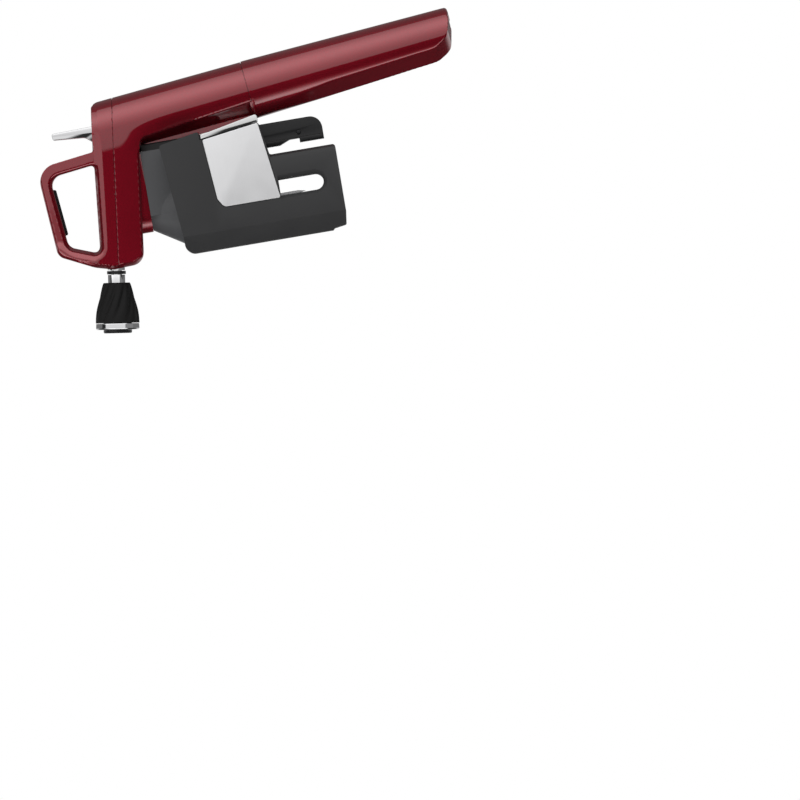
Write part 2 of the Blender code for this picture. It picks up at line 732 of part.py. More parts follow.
def slot_cutter(grow, low, high):
    """Window slot of a jaw's leg, round at its lower end."""
    radius = SLOT_WIDTH / 2 + grow
    middle = SLOT_FLOOR + SLOT_WIDTH / 2
    start = SLOT_START - grow
    corners = [(middle - radius, -start, 0), (middle + radius, -start, 0),
               (middle + radius, -SLOT_END - grow, radius * ROUND_END_SHARE),
               (middle - radius, -SLOT_END - grow, radius * ROUND_END_SHARE)]
    place = SIDE_VIEW @ Matrix.Translation((0, 0, -(low + high) / 2))
    return outline("slot", [rounded(corners)], (high - low) / 2, place)


def make_jaw(name, side, body):
    """One jaw: a thin-walled tab half and a leg that wraps the neck."""
    inner = JAW_HALF_WIDTH - JAW_WALL
    span = JAW_TAB_BACK + JAW_TAB_STEP + CUT_OVERRUN
    lean = (JAW_FRONT - JAW_CHAMFER_START) / (JAW_HALF_WIDTH - JAW_CHAMFER_HALF_WIDTH)
    foot = JAW_CHAMFER_START + lean * (JAW_HALF_WIDTH - JAW_LIP_HALF_WIDTH)
    low = -LEG_END - CUT_OVERRUN
    high = JAW_TAB_BACK_TOP + CUT_OVERRUN
    plan = [(span, JAW_HALF_WIDTH), (-JAW_CHAMFER_START, JAW_HALF_WIDTH),
            (-foot, JAW_LIP_HALF_WIDTH), (span, JAW_LIP_HALF_WIDTH)]
    jaw = outline(name, [plan], (high - low) / 2, Matrix.Translation((0, 0, (high + low) / 2)))

    front = JAW_WALL - JAW_FRONT
    past = JAW_LIP_HALF_WIDTH - CUT_OVERRUN
    room = [(span + CUT_OVERRUN, inner), (JAW_WALL / 2 - JAW_CHAMFER_START, inner),
            (front, JAW_CHAMFER_HALF_WIDTH - JAW_WALL / 3), (front, past),
            (span + CUT_OVERRUN, past)]
    half = (high + LEG_START) / 2 + CUT_OVERRUN
    cut(jaw, outline("jaw_room", [room], half, Matrix.Translation((0, 0, half - LEG_START))))

    edge = [(JAW_TAB_BACK - JAW_WALL, high), (span + CUT_OVERRUN, high),
            (span + CUT_OVERRUN, -JAW_STEP_DROP - JAW_WALL),
            (JAW_TAB_BACK + JAW_TAB_STEP - JAW_WALL, -JAW_STEP_DROP - JAW_WALL)]
    half = (inner - JAW_TAB_INNER_HALF_WIDTH + JAW_WALL / 2) / 2
    shift = Matrix.Translation((0, 0, -JAW_TAB_INNER_HALF_WIDTH - half))
    join(jaw, outline("jaw_back_flange", [edge], half, SIDE_VIEW @ shift))

    ear_top = EAR_LENGTH - PIN_FRONT + FIT_GAP
    for start in (ear_top, KNUCKLE_BACK):
        end = start + KNUCKLE_LENGTH
        root = block("knuckle_root", (start, PIN_HALF_SPACING, -PIN_DROP - KNUCKLE_RADIUS * 3 / 4),
                     (end, inner + JAW_WALL / 2, KNUCKLE_RADIUS * 3 / 4 - PIN_DROP))
        join(jaw, [rod("knuckle", KNUCKLE_RADIUS, start, end, pin_frame(1)), root])

    view = [rounded(jaw_side_view())]
    meet(jaw, outline("jaw_envelope", view, JAW_HALF_WIDTH + CUT_OVERRUN, SIDE_VIEW))
    cut(jaw, rod("jaw_bore", NECK_GRIP_RADIUS + PAD_THICKNESS + FIT_GAP, low,
                 CUT_OVERRUN - LEG_START, WORLD, FINE_SIDES))
    corner = [(LEG_BACK - LEG_CORNER, JAW_HALF_WIDTH),
              (LEG_BACK - LEG_CORNER / 3, JAW_HALF_WIDTH - LEG_CORNER / 3),
              (LEG_BACK, JAW_HALF_WIDTH - LEG_CORNER),
              (span, JAW_HALF_WIDTH - LEG_CORNER), (span, JAW_HALF_WIDTH + CUT_OVERRUN),
              (LEG_BACK - LEG_CORNER, JAW_HALF_WIDTH + CUT_OVERRUN)]
    half = (LEG_END - LEG_START) / 2 + CUT_OVERRUN / 2
    cut(jaw, outline("leg_corner", [corner], half,
                     Matrix.Translation((0, 0, -half - LEG_START))))
    jaw = settled(jaw)
    edited(jaw, flare)

    cut(jaw, rod("pin_hole", PIN_RADIUS + FIT_GAP, ear_top - CUT_OVERRUN,
                 roof_line(COLLAR_LENGTH), pin_frame(1)))
    half = PLATE_RECESS + CUT_OVERRUN
    shift = Matrix.Translation((0, 0, -JAW_HALF_WIDTH - CUT_OVERRUN))
    cut(jaw, outline("plate_recess", [rounded(plate_corners(FIT_GAP))], half, SIDE_VIEW @ shift))
    cut(jaw, slot_cutter(0, 0, JAW_HALF_WIDTH + CUT_OVERRUN))
    cut(jaw, loft_slot_rim())
    if side < 0:
        jaw = mirrored(settled(jaw))
    return keep(shade(jaw, 25), name, DARK_GREY, body)


def loft_slot_rim():
    """Slanted rim round the window, as a loft from the slot to a wider outline."""
    middle = SLOT_FLOOR + SLOT_WIDTH / 2
    rings = []
    for depth, grow in ((SLOT_RIM, 0), (-SLOT_RIM, SLOT_RIM * 2)):
        radius = SLOT_WIDTH / 2 + grow
        corners = [(middle - radius, -SLOT_START, 0), (middle + radius, -SLOT_START, 0),
                   (middle + radius, -SLOT_END - grow, radius * ROUND_END_SHARE),
                   (middle - radius, -SLOT_END - grow, radius * ROUND_END_SHARE)]
        rings.append([(spot.x, JAW_HALF_WIDTH - depth, spot.y) for spot in rounded(corners)])
    return loft("slot_rim", rings, WORLD)


def make_plate(name, side, body):
    """Silver plate let into a jaw's side."""
    low = JAW_HALF_WIDTH - PLATE_RECESS + FIT_GAP
    shift = Matrix.Translation((0, 0, -low - PLATE_THICKNESS / 2))
    plate = outline(name, [rounded(plate_corners(0))], PLATE_THICKNESS / 2, SIDE_VIEW @ shift)
    if side < 0:
        mirrored(plate)
    return keep(plate, name, SILVER, body)


def make_pad(name, side, body):
    """Rubber arc inside a jaw's leg, with the same window as the leg."""
    half_arc = math.radians(PAD_ARC_DEG / 2)
    steps = 24
    outer = []
    inner = []
    for step in range(steps + 1):
        angle = math.pi / 2 - half_arc + 2 * half_arc * step / steps
        spot = Vector((math.cos(angle), math.sin(angle)))
        outer.append(spot * (NECK_GRIP_RADIUS + PAD_THICKNESS))
        inner.append(spot * NECK_GRIP_RADIUS)
    middle = (LEG_START + LEG_END) / 2
    place = Matrix.Translation((0, 0, -middle))
    pad = outline(name, [outer + inner[::-1]], PAD_LENGTH / 2, place)
    cut(pad, slot_cutter(FIT_GAP, 0, JAW_HALF_WIDTH))
    pad = settled(pad)
    if side < 0:
        mirrored(pad)
    return keep(shade(pad), name, RUBBER, body)


def make_pin(name, side, body):
    """Pin that a jaw turns on, from the core's ear to the collar's roof."""
    top = roof_line(PIN_DROP + COLLAR_START - PIN_RADIUS) - FIT_GAP
    pin = rod(name, PIN_RADIUS, -PIN_FRONT, top, pin_frame(side))
    return keep(shade(pin), name, STEEL, body)


def make_jaw_spring(name, side, body):
    """Torsion spring coiled round a jaw's pin."""
    length = JAW_SPRING_PITCH * JAW_SPRING_TURNS
    start = KNUCKLE_BACK - length - JAW_SPRING_WIRE - FIT_GAP
    spring = coil(name, JAW_SPRING_RADIUS, JAW_SPRING_WIRE, JAW_SPRING_PITCH,
                  JAW_SPRING_TURNS, start, pin_frame(1))
    if side < 0:
        mirrored(spring)
    return keep(shade(spring), name, STEEL, body)


# Rail
def make_rail(body):
    """T-section rail with a round end and a notch in its flange."""
    top = CORE_HEIGHT - FIT_GAP * 2
    flange_top = RAIL_FRONT + RAIL_FLANGE_THICKNESS
    flange = RAIL_FLANGE_WIDTH / 2
    web = RAIL_WEB_WIDTH / 2
    edge = RAIL_FLANGE_THICKNESS / 4
    section = [(RAIL_FRONT, -flange, edge), (flange_top, -flange, edge), (flange_top, -web, 0),
               (RAIL_BACK, -web, edge), (RAIL_BACK, web, edge), (flange_top, web, 0),
               (flange_top, flange, edge), (RAIL_FRONT, flange, edge)]
    half = (top + RAIL_REACH) / 2 + CUT_OVERRUN
    rail = outline("guide_rail", [rounded(section, 3)], half,
                   Matrix.Translation((0, 0, (top - RAIL_REACH) / 2)))
    side_view = [(RAIL_FRONT - CUT_OVERRUN, top, 0), (RAIL_FRONT - CUT_OVERRUN, -RAIL_REACH, 0),
                 (RAIL_BACK, -RAIL_REACH, RAIL_END_RADIUS), (RAIL_BACK, top - CUT_OVERRUN, 0),
                 (RAIL_BACK + CUT_OVERRUN, top - CUT_OVERRUN, 0), (RAIL_BACK + CUT_OVERRUN, top, 0)]
    meet(rail, outline("rail_side", [rounded(side_view)], RAIL_FLANGE_WIDTH, SIDE_VIEW))
    low = -RAIL_NOTCH_START - RAIL_NOTCH_LENGTH
    deep = RAIL_FRONT + RAIL_NOTCH_DEPTH
    over = RAIL_FRONT - RAIL_NOTCH_DEPTH
    notch = [(over, RAIL_NOTCH_RAMP - RAIL_NOTCH_START), (deep, -RAIL_NOTCH_START - RAIL_NOTCH_RAMP),
             (deep, low), (over, low)]
    cut(rail, outline("rail_notch", [notch], RAIL_FLANGE_WIDTH, SIDE_VIEW))
    cut(rail, rod("stop_pin_hole", STOP_PIN_RADIUS + FIT_GAP, -RAIL_FLANGE_WIDTH,
                  RAIL_FLANGE_WIDTH, stop_pin_frame(), SMALL_SIDES))
    return keep(shade(rail), "guide_rail", BLACK, body)


def stop_pin_frame():
    """Place of the stop pin, across the rail just above the notch's lower end."""
    rise = RAIL_FRONT + RAIL_FLANGE_THICKNESS + STOP_PIN_RADIUS * 5 / 2
    drop = RAIL_NOTCH_START + RAIL_NOTCH_LENGTH
    return frame(Vector((rise, 0, -drop)), Vector((0, 0, 1)), Vector((1, 0, 0)))


def make_stop_pin(body):
    """Small steel pin, flush with the rail's web."""
    half = RAIL_WEB_WIDTH / 2
    pin = rod("rail_stop_pin", STOP_PIN_RADIUS, -half, half, stop_pin_frame())
    return keep(shade(pin), "rail_stop_pin", STEEL, body)


# Head: capsule tube, column and loop
def tube_ring(along_tube, radius, crease, keel):
    """Section of the tube: round above its creases, a shallow keel below."""
    crease_angle = math.asin(crease / radius)
    sweep = math.pi + 2 * crease_angle
    ring = [(along_tube, -keel, 0)]
    for step in range(FINE_SIDES - 8):
        angle = -crease_angle + sweep * step / (FINE_SIDES - 9)
        ring.append((along_tube, radius * math.sin(angle), radius * math.cos(angle)))
    return ring


def tube_body(name, start, end):
    """Loft of the tube between two distances from the seam, start nearer the head."""
    rings = []
    for place in (start, end):
        share = -place / HOUSING_LENGTH
        radius = TUBE_RADIUS + (TUBE_HEAD_RADIUS - TUBE_RADIUS) * share
        keel = TUBE_KEEL + (TUBE_HEAD_KEEL - TUBE_KEEL) * share
        crease = CREASE_DROP + (HEAD_CREASE_DROP - CREASE_DROP) * share
        rings.append(tube_ring(place, radius, crease, keel))
    return loft(name, rings, TUBE_SIDE)


def drafted(piece, forward):
    """Narrow a piece of the column towards its foot, and the loop towards its front."""
    down_slope = math.tan(math.radians(COLUMN_DRAFT_DEG)) / COLUMN_HALF_WIDTH
    front_slope = math.tan(math.radians(LOOP_DRAFT_DEG)) / COLUMN_HALF_WIDTH if forward else 0
    back = COLUMN_SIDE.inverted()
    for vert in piece.data.vertices:
        spot = back @ vert.co
        vert.co.y *= 1 - down_slope * spot.x - front_slope * spot.y
    return piece


NOSE_SHARES = [(-1.014, 0.145), (-0.939, 0.577), (-0.831, 0.856), (-0.703, 1.000)]
LOOP_OUTER_SHARES = [
    (0.160, 0.252, 0.000), (0.267, 1.000, 0.245), (0.895, 0.768, 0.125),
    (0.984, 0.300, 0.400), (1.002, 0.065, 0.080), (0.965, -0.335, 0.165)]
LOOP_INNER_SHARES = [
    (0.255, 0.260, 0.040), (0.335, 0.832, 0.145), (0.830, 0.625, 0.120), (0.884, 0.228, 0.070)]


def below_tube(front, drop):
    """Place down the column of a line that runs a drop below the tube's axis."""
    lean = TUBE_LEAN + COLUMN_LEAN
    return (drop / math.cos(lean) + front * math.tan(lean), front)


def column_spot(down_share, front_share, corner_share):
    """Outline corner from shares of the column's drop, the loop's reach and its reach."""
    return (COLUMN_DROP * down_share, LOOP_REACH * front_share, LOOP_REACH * corner_share)


def make_housing(body):
    """Main housing: the tube, the back half of the column and the foot round the needle."""
    housing = tube_body("main_housing", -HOUSING_LENGTH - CUT_OVERRUN, 0)
    heel = column_spot(*LOOP_OUTER_SHARES[5])
    corners = [(*below_tube(-COLUMN_BACK, 0), 0), (*below_tube(CUT_OVERRUN, 0), 0),
               (COLUMN_DROP, CUT_OVERRUN, 0), (heel[0], -COLUMN_BACK, heel[2])]
    column = outline("housing_column", [rounded(corners)], COLUMN_HALF_WIDTH, COLUMN_SIDE)
    soften(column, HEAD_EDGE)
    column = drafted(settled(column), False)
    foot_corners = [(-FOOT_FRONT, -FOOT_HALF_WIDTH, FOOT_HALF_WIDTH * ROUND_END_SHARE),
                    (-FOOT_FRONT, FOOT_HALF_WIDTH, FOOT_HALF_WIDTH * ROUND_END_SHARE),
                    (FOOT_BACK, FOOT_HALF_WIDTH, HEAD_EDGE),
                    (FOOT_BACK, -FOOT_HALF_WIDTH, HEAD_EDGE)]
    foot_low = CORE_HEIGHT + FIT_GAP
    foot_high = HEAD_CENTRE.z
    half = (foot_high - foot_low) / 2
    foot = outline("housing_foot", [rounded(foot_corners)], half,
                   Matrix.Translation((0, 0, foot_low + half)))
    spigot = rod("housing_spigot", SPIGOT_RADIUS, -SPIGOT_LENGTH, SPIGOT_LENGTH, TUBE_AXIS,
                 ROUND_SIDES)
    join(housing, [column, foot, spigot])
    far = COLUMN_DROP + LOOP_REACH
    cut(housing, block("parting", (-far, -FIT_GAP / 2, -far), (far, LOOP_REACH, far), COLUMN_SIDE))
    cut(housing, rod("chamber", CHAMBER_RADIUS, -CHAMBER_DEPTH, SPIGOT_LENGTH + CUT_OVERRUN,
                     TUBE_AXIS, ROUND_SIDES))
    shoulder = -HOUSING_LENGTH + STEM_BORE_DEPTH
    cut(housing, rod("spring_bore", STEM_BORE_RADIUS, -HOUSING_LENGTH - CUT_OVERRUN, shoulder,
                     TUBE_AXIS))
    cut(housing, rod("stem_bore", STEM_RADIUS + FIT_GAP, -HOUSING_LENGTH, -CHAMBER_DEPTH
                     + CUT_OVERRUN, TUBE_AXIS))
    cut(housing, spout_socket())
    cut(housing, rod("hub_socket", HUB_STUD_RADIUS + FIT_GAP, foot_low - CUT_OVERRUN,
                     foot_low + HUB_STUD_LENGTH + FIT_GAP, WORLD))
    return keep(shade(housing, 30), "main_housing", BURGUNDY, body)


def spout_socket():
    """Hole that the spout sits in, across both halves of the column."""
    return rod("spout_socket", SPOUT_RADIUS + FIT_GAP, -SPOUT_DEPTH, CUT_OVERRUN, SPOUT_AXIS)


def make_cover(body):
    """Front cover: the tube's front end, the front of the column and the finger loop."""
    nose = tube_body("front_cover", -HOUSING_LENGTH - LOOP_REACH / 2, CUT_OVERRUN - HOUSING_LENGTH)
    drop = COLUMN_DROP / 4
    corners = [(-TUBE_HEAD_RADIUS - CUT_OVERRUN / 4, -LOOP_REACH)]
    corners += [(TUBE_HEAD_RADIUS * up, FACE_REACH * out) for up, out in NOSE_SHARES]
    corners += [(drop, FACE_REACH), (drop, -LOOP_REACH)]
    meet(nose, outline("cover_nose", [corners], TUBE_HEAD_RADIUS + CUT_OVERRUN, COLUMN_SIDE))
    nose = soften(settled(nose), HEAD_EDGE, 2, 48)
    outer = [(*below_tube(-CUT_OVERRUN, 0), 0), (*below_tube(FACE_REACH, 0), 0)]
    outer += [column_spot(*share) for share in LOOP_OUTER_SHARES[:5]]
    outer += [(COLUMN_DROP, -CUT_OVERRUN, 0)]
    inner = [column_spot(*share) for share in LOOP_INNER_SHARES]
    loop = outline("cover_loop", [rounded(outer), rounded(inner)], COLUMN_HALF_WIDTH, COLUMN_SIDE)
    soften(loop, HEAD_EDGE)
    loop = drafted(settled(loop), True)
    nose = join(nose, loop)
    far = COLUMN_DROP + LOOP_REACH
    cut(nose, block("parting", (-far, -LOOP_REACH, -far), (far, FIT_GAP / 2, far), COLUMN_SIDE))
    half = TRIGGER_WIDTH / 2 + FIT_GAP
    rise = -TRIGGER_PIVOT_RISE - TRIGGER_BOSS_RADIUS - FIT_GAP
    bottom = TRIGGER_ROOT_DEPTH + FIT_GAP * 3
    cavity = block("trigger_cavity", (rise, -CUT_OVERRUN, -half),
                   (bottom, FACE_REACH - TRIGGER_WALL, half), COLUMN_SIDE)
    window = block("trigger_window", (-TRIGGER_PIVOT_RISE, 0, -half),
                   (bottom, FACE_REACH + CUT_OVERRUN, half), COLUMN_SIDE)
    cut(nose, [cavity, window])
    bedding = TRIGGER_WIDTH / 2 + TRIGGER_PIN_BEDDING + FIT_GAP
    cut(nose, rod("trigger_pin_hole", TRIGGER_PIN_RADIUS + FIT_GAP, -bedding, bedding,
                  pivot_frame()))
    cut(nose, spout_socket())
    cut(nose, loop_pad_block("loop_pad_recess", FIT_GAP))
    return keep(shade(nose, 30), "front_cover", BURGUNDY, body)


def pivot_frame():
    """Trigger's pivot, with Z across the column."""
    return frame(TRIGGER_PIVOT, DOWN_DIR, FRONT_DIR)


def loop_pad_block(name, grow):
    """Pad on the inner face of the loop's front limb, or its recess."""
    upper = Vector(column_spot(*LOOP_INNER_SHARES[1])[:2])
    lower = Vector(column_spot(*LOOP_INNER_SHARES[2])[:2])
    run = (lower - upper).normalized()
    middle = (upper + lower) / 2
    place = COLUMN_SIDE @ Matrix.Translation((*middle, 0)) @ Matrix.Rotation(
        math.atan2(run.y, run.x), 4, 'Z')
    proud = LOOP_PAD_PROUD + (CUT_OVERRUN if grow else 0)
    return block(name, (-LOOP_PAD_LENGTH / 2 - grow, -proud, -LOOP_PAD_WIDTH / 2 - grow),
                 (LOOP_PAD_LENGTH / 2 + grow, LOOP_PAD_RECESS - (0 if grow else FIT_GAP),
                  LOOP_PAD_WIDTH / 2 + grow), place)


def make_loop_pad(body):
    """Rubber pad for the fingers, let into the loop."""
    pad = loop_pad_block("loop_pad", 0)
    soften(pad, LOOP_PAD_PROUD / 2, 2)
    return keep(shade(settled(pad)), "loop_pad", RUBBER, body)


# Trigger and its pin
def make_trigger(body):
    """Chrome lever with a nose that pushes the valve's stem."""
    pivot_down = -TRIGGER_PIVOT_RISE
    boss = TRIGGER_BOSS_RADIUS
    root = TRIGGER_ROOT_DEPTH
    heel = root * TRIGGER_ROOT_SHARE
    tip = TRIGGER_REACH
    top_tip = TRIGGER_TIP_DEPTH / 2
    low_tip = top_tip + TRIGGER_TIP_DEPTH
    slope = math.tan(TUBE_LEAN + COLUMN_LEAN)
    corners = [(pivot_down - boss, TRIGGER_PIVOT_REACH - boss, boss * TRIGGER_BOSS_SHARE),
               (pivot_down - boss, TRIGGER_PIVOT_REACH + boss, boss * TRIGGER_BOSS_SHARE),
               (pivot_down + boss / 5, TRIGGER_PIVOT_REACH + boss, boss / 3),
               (pivot_down + boss / 2, FACE_REACH, boss),
               (top_tip, tip, TRIGGER_TIP_DEPTH / 3),
               (low_tip, tip - TRIGGER_TIP_DEPTH / 4, TRIGGER_TIP_DEPTH / 3),
               (low_tip - boss / 3, FACE_REACH + boss * 3 / 2, root / 2),
               (heel, FACE_REACH, boss / 2),
               (heel, FACE_REACH - boss, boss),
               (boss, TRIGGER_NOSE_REACH - slope * boss, boss / 3),
               (-boss / 2, TRIGGER_NOSE_REACH + slope * boss / 2, boss / 3)]
    lever = outline("trigger", [rounded(corners, 4)], TRIGGER_WIDTH / 2, COLUMN_SIDE)
    soften(lever, TRIGGER_TIP_DEPTH / 4, 2, 60)
    lever = settled(lever)
    cut(lever, rod("trigger_bore", TRIGGER_PIN_RADIUS + FIT_GAP, -TRIGGER_WIDTH, TRIGGER_WIDTH,
                   pivot_frame()))
    return keep(shade(lever), "trigger", CHROME, body)


def make_trigger_pin(body):
    """Pin bedded in both walls of the cover's cavity."""
    half = TRIGGER_WIDTH / 2 + TRIGGER_PIN_BEDDING
    pin = rod("trigger_pin", TRIGGER_PIN_RADIUS, -half, half, pivot_frame())
    return keep(shade(pin), "trigger_pin", STEEL, body)


# Valve and regulator
def stem_top():
    """Distance from the seam at which the stem meets the trigger's nose."""
    return FIT_GAP - HOUSING_LENGTH - TRIGGER_NOSE_REACH * math.cos(TUBE_LEAN + COLUMN_LEAN)


def make_stem(body):
    """Valve stem with a flange for its spring."""
    top = stem_top()
    flange = top + STEM_FLANGE_THICKNESS
    tip = top + STEM_LENGTH
    profile = [(0, tip), (STEM_RADIUS, tip), (STEM_RADIUS, flange),
               (STEM_FLANGE_RADIUS, flange), (STEM_FLANGE_RADIUS, top), (0, top)]
    stem = turned("valve_stem", profile, TUBE_AXIS, SMALL_SIDES)
    return keep(shade(stem), "valve_stem", BRASS, body)


def make_valve_spring(body):
    """Spring that lifts the stem and the trigger back."""
    start = stem_top() + FIT_GAP + STEM_FLANGE_THICKNESS + VALVE_SPRING_WIRE
    end = -HOUSING_LENGTH + STEM_BORE_DEPTH - FIT_GAP - VALVE_SPRING_WIRE
    pitch = (end - start) / VALVE_SPRING_TURNS
    spring = coil("valve_spring", VALVE_SPRING_RADIUS, VALVE_SPRING_WIRE, pitch,
                  VALVE_SPRING_TURNS, start, TUBE_AXIS)
    return keep(shade(spring), "valve_spring", STEEL, body)


def regulator_bore():
    """Radius of the regulator's piston chamber."""
    return CHAMBER_RADIUS - FIT_GAP - REGULATOR_WALL


def cap_start():
    """Distance from the seam of the regulator cap's inner end."""
    return -REGULATOR_CAP_SETBACK - REGULATOR_CAP_LENGTH


def make_regulator(body):
    """Regulator body, a brass cup with the stem's bore in its roof."""
    outer = CHAMBER_RADIUS - FIT_GAP
    bore = regulator_bore()
    hole = STEM_RADIUS + FIT_GAP
    top = FIT_GAP - CHAMBER_DEPTH
    roof = top + REGULATOR_ROOF
    end = cap_start() - FIT_GAP
    profile = [(outer, end), (outer, top), (hole, top), (hole, roof), (bore, roof), (bore, end)]
    made = turned("regulator_body", profile, TUBE_AXIS, INNER_SIDES, True)
    return keep(shade(made), "regulator_body", BRASS, body)


def make_cap(body):
    """Regulator cap with a seat for the capsule seal and a bore for the piercer."""
    outer = CHAMBER_RADIUS - FIT_GAP
    seat = CAPSULE_SEAL_RADIUS + FIT_GAP
    hole = PIERCER_RADIUS + FIT_GAP
    start = cap_start()
    end = -REGULATOR_CAP_SETBACK
    shelf = end - CAPSULE_SEAL_THICKNESS
    profile = [(outer, end), (outer, start), (hole, start), (hole, shelf), (seat, shelf),
               (seat, end)]
    made = turned("regulator_cap", profile, TUBE_AXIS, INNER_SIDES, True)
    return keep(shade(made), "regulator_cap", BRASS, body)


def make_capsule_seal(body):
    """Rubber washer that the capsule's neck presses on."""
    outer = CAPSULE_SEAL_RADIUS
    inner = PIERCER_RADIUS + FIT_GAP * 2
    start = FIT_GAP - REGULATOR_CAP_SETBACK - CAPSULE_SEAL_THICKNESS
    end = start + CAPSULE_SEAL_THICKNESS
    profile = [(outer, end), (outer, start), (inner, start), (inner, end)]
    made = turned("capsule_seal", profile, TUBE_AXIS, INNER_SIDES, True)
    return keep(shade(made), "capsule_seal", RUBBER, body)


def make_piercer(body):
    """Steel pin that opens the capsule."""
    start = cap_start() - FIT_GAP
    end = -REGULATOR_CAP_SETBACK + FIT_GAP * 3
    profile = [(0, end), (PIERCER_RADIUS / 3, end), (PIERCER_RADIUS, end - PIERCER_RADIUS * 2),
               (PIERCER_RADIUS, start), (0, start)]
    made = turned("piercing_pin", profile, TUBE_AXIS, SMALL_SIDES)
    return keep(shade(made), "piercing_pin", STEEL, body)


def piston_start():
    """Distance from the seam of the piston's inner end."""
    return cap_start() - PIERCER_LENGTH / 2 - PISTON_LENGTH


def make_piston(body):
    """Piston with a groove for its seal."""
    outer = regulator_bore() - FIT_GAP
    groove = outer - PISTON_SEAL_RADIUS * 2
    start = piston_start()
    end = start + PISTON_LENGTH
    middle = (start + end) / 2
    half = PISTON_GROOVE / 2
    profile = [(0, end), (outer, end), (outer, middle + half), (groove, middle + half),
               (groove, middle - half), (outer, middle - half), (outer, start), (0, start)]
    made = turned("regulator_piston", profile, TUBE_AXIS, INNER_SIDES)
    return keep(shade(made), "regulator_piston", BRASS, body)


def ring_profile(radius, section, height, sides=8):
    """Points of a round ring's section, going down its outer side."""
    spots = []
    for step in range(sides):
        angle = math.pi / 2 - math.tau * step / sides
        spots.append((radius + section * math.cos(angle), height + section * math.sin(angle)))
    return spots


def make_piston_seal(body):
    """Rubber ring in the piston's groove."""
    groove = regulator_bore() - FIT_GAP - PISTON_SEAL_RADIUS * 2
    radius = (regulator_bore() + groove) / 2
    middle = piston_start() + PISTON_LENGTH / 2
    section = (regulator_bore() - groove) / 2 - FIT_GAP
    made = turned("piston_seal", ring_profile(radius, section, middle), TUBE_AXIS,
                  INNER_SIDES, True)
    return keep(shade(made), "piston_seal", RUBBER, body)


def make_regulator_spring(body):
    """Spring that sets the regulator's pressure."""
    start = FIT_GAP * 2 - CHAMBER_DEPTH + REGULATOR_ROOF + REGULATOR_SPRING_WIRE
    end = piston_start() - FIT_GAP - REGULATOR_SPRING_WIRE
    pitch = (end - start) / REGULATOR_SPRING_TURNS
    spring = coil("regulator_spring", REGULATOR_SPRING_RADIUS, REGULATOR_SPRING_WIRE, pitch,
                  REGULATOR_SPRING_TURNS, start, TUBE_AXIS)
    return keep(shade(spring), "regulator_spring", STEEL, body)


# Capsule and cup
def capsule_start():
    """Distance from the seam of the capsule's mouth."""
    return -REGULATOR_CAP_SETBACK + FIT_GAP * 4


def make_capsule(body):
    """Steel gas capsule: neck, shoulder and round end."""
    start = capsule_start()
    neck = start + CAPSULE_NECK_LENGTH
    shoulder = neck + CAPSULE_SHOULDER
    end = start + CAPSULE_LENGTH
    profile = [(0, end)]
    for step in range(1, 7):
        angle = math.pi / 2 * step / 6
        profile.append((CAPSULE_RADIUS * math.sin(angle),
                        end - CAPSULE_RADIUS * (1 - math.cos(angle))))
    for step in range(7):
        angle = math.pi * step / 6
        radius = (CAPSULE_RADIUS + CAPSULE_NECK_RADIUS) / 2
        reach = (CAPSULE_RADIUS - CAPSULE_NECK_RADIUS) / 2
        profile.append((radius + reach * math.cos(angle),
                        shoulder - CAPSULE_SHOULDER * step / 6))
    profile += [(CAPSULE_NECK_RADIUS, start), (0, start)]
    made = turned("gas_capsule", profile, TUBE_AXIS, INNER_SIDES)
    return keep(shade(made), "gas_capsule", STEEL, body)


def cup_bore():
    """Radius of the cup's bore round the capsule."""
    return CAPSULE_RADIUS + CUP_BORE_CLEARANCE


def cup_floor():
    """Distance from the seam of the cup's floor."""
    return capsule_start() + CAPSULE_LENGTH + CUSHION_THICKNESS + FIT_GAP * 2


CUP_HEEL_SHARES = [
    (0.886, 0.850), (0.919, 0.773), (0.953, 0.638), (0.972, 0.475), (0.988, 0.110),
    (0.995, -0.090), (0.999, -0.390), (1.050, -0.500)]


def make_cup(body):
    """Long turned cup with two grip flats that round off its heel."""
    start = FIT_GAP
    end = CUP_LENGTH
    corner = CUP_END_CORNER
    profile = [(0, end), (CUP_END_RADIUS - corner, end)]
    for step in range(1, 5):
        angle = math.pi / 2 * step / 4
        profile.append((CUP_END_RADIUS - corner + corner * math.sin(angle),
                        end - corner + corner * math.cos(angle)))
    profile += [(CUP_RADIUS, start), (0, start)]
    cup = turned("capsule_cup", profile, TUBE_AXIS, FINE_SIDES)
    taper = (CUP_RADIUS - CUP_END_RADIUS) / CUP_LENGTH
    for side in (-1, 1):
        flat = [(GRIP_START, -CUP_RADIUS + taper * GRIP_START),
                (GRIP_RUN, -CUP_RADIUS + taper * GRIP_RUN + GRIP_DEPTH)]
        flat += [(end * down, -CUP_END_RADIUS * out) for down, out in CUP_HEEL_SHARES]
        flat += [(end + CUT_OVERRUN, -CUP_RADIUS - CUT_OVERRUN),
                (GRIP_START, -CUP_RADIUS - CUT_OVERRUN)]
        lean = Matrix.Rotation(side * (math.pi / 2 - math.radians(GRIP_TURN_DEG)), 4, 'X')
        cut(cup, outline("grip_flat", [flat], CUP_RADIUS, TUBE_SIDE @ lean))
    mouth = SPIGOT_RADIUS + FIT_GAP
    cut(cup, rod("cup_mouth", mouth, -CUT_OVERRUN, SPIGOT_LENGTH + FIT_GAP * 2, TUBE_AXIS,
                 ROUND_SIDES))
    cut(cup, rod("cup_bore", cup_bore(), -CUT_OVERRUN, cup_floor(), TUBE_AXIS, ROUND_SIDES))
    return keep(shade(cup, 25), "capsule_cup", BURGUNDY, body)


def make_cushion(body):
    """Rubber cushion that holds the capsule against the seal."""
    start = capsule_start() + CAPSULE_LENGTH + FIT_GAP
    cushion = rod("cup_cushion", cup_bore() - FIT_GAP, start, start + CUSHION_THICKNESS, TUBE_AXIS,
                  INNER_SIDES)
    return keep(shade(cushion), "cup_cushion", RUBBER, body)


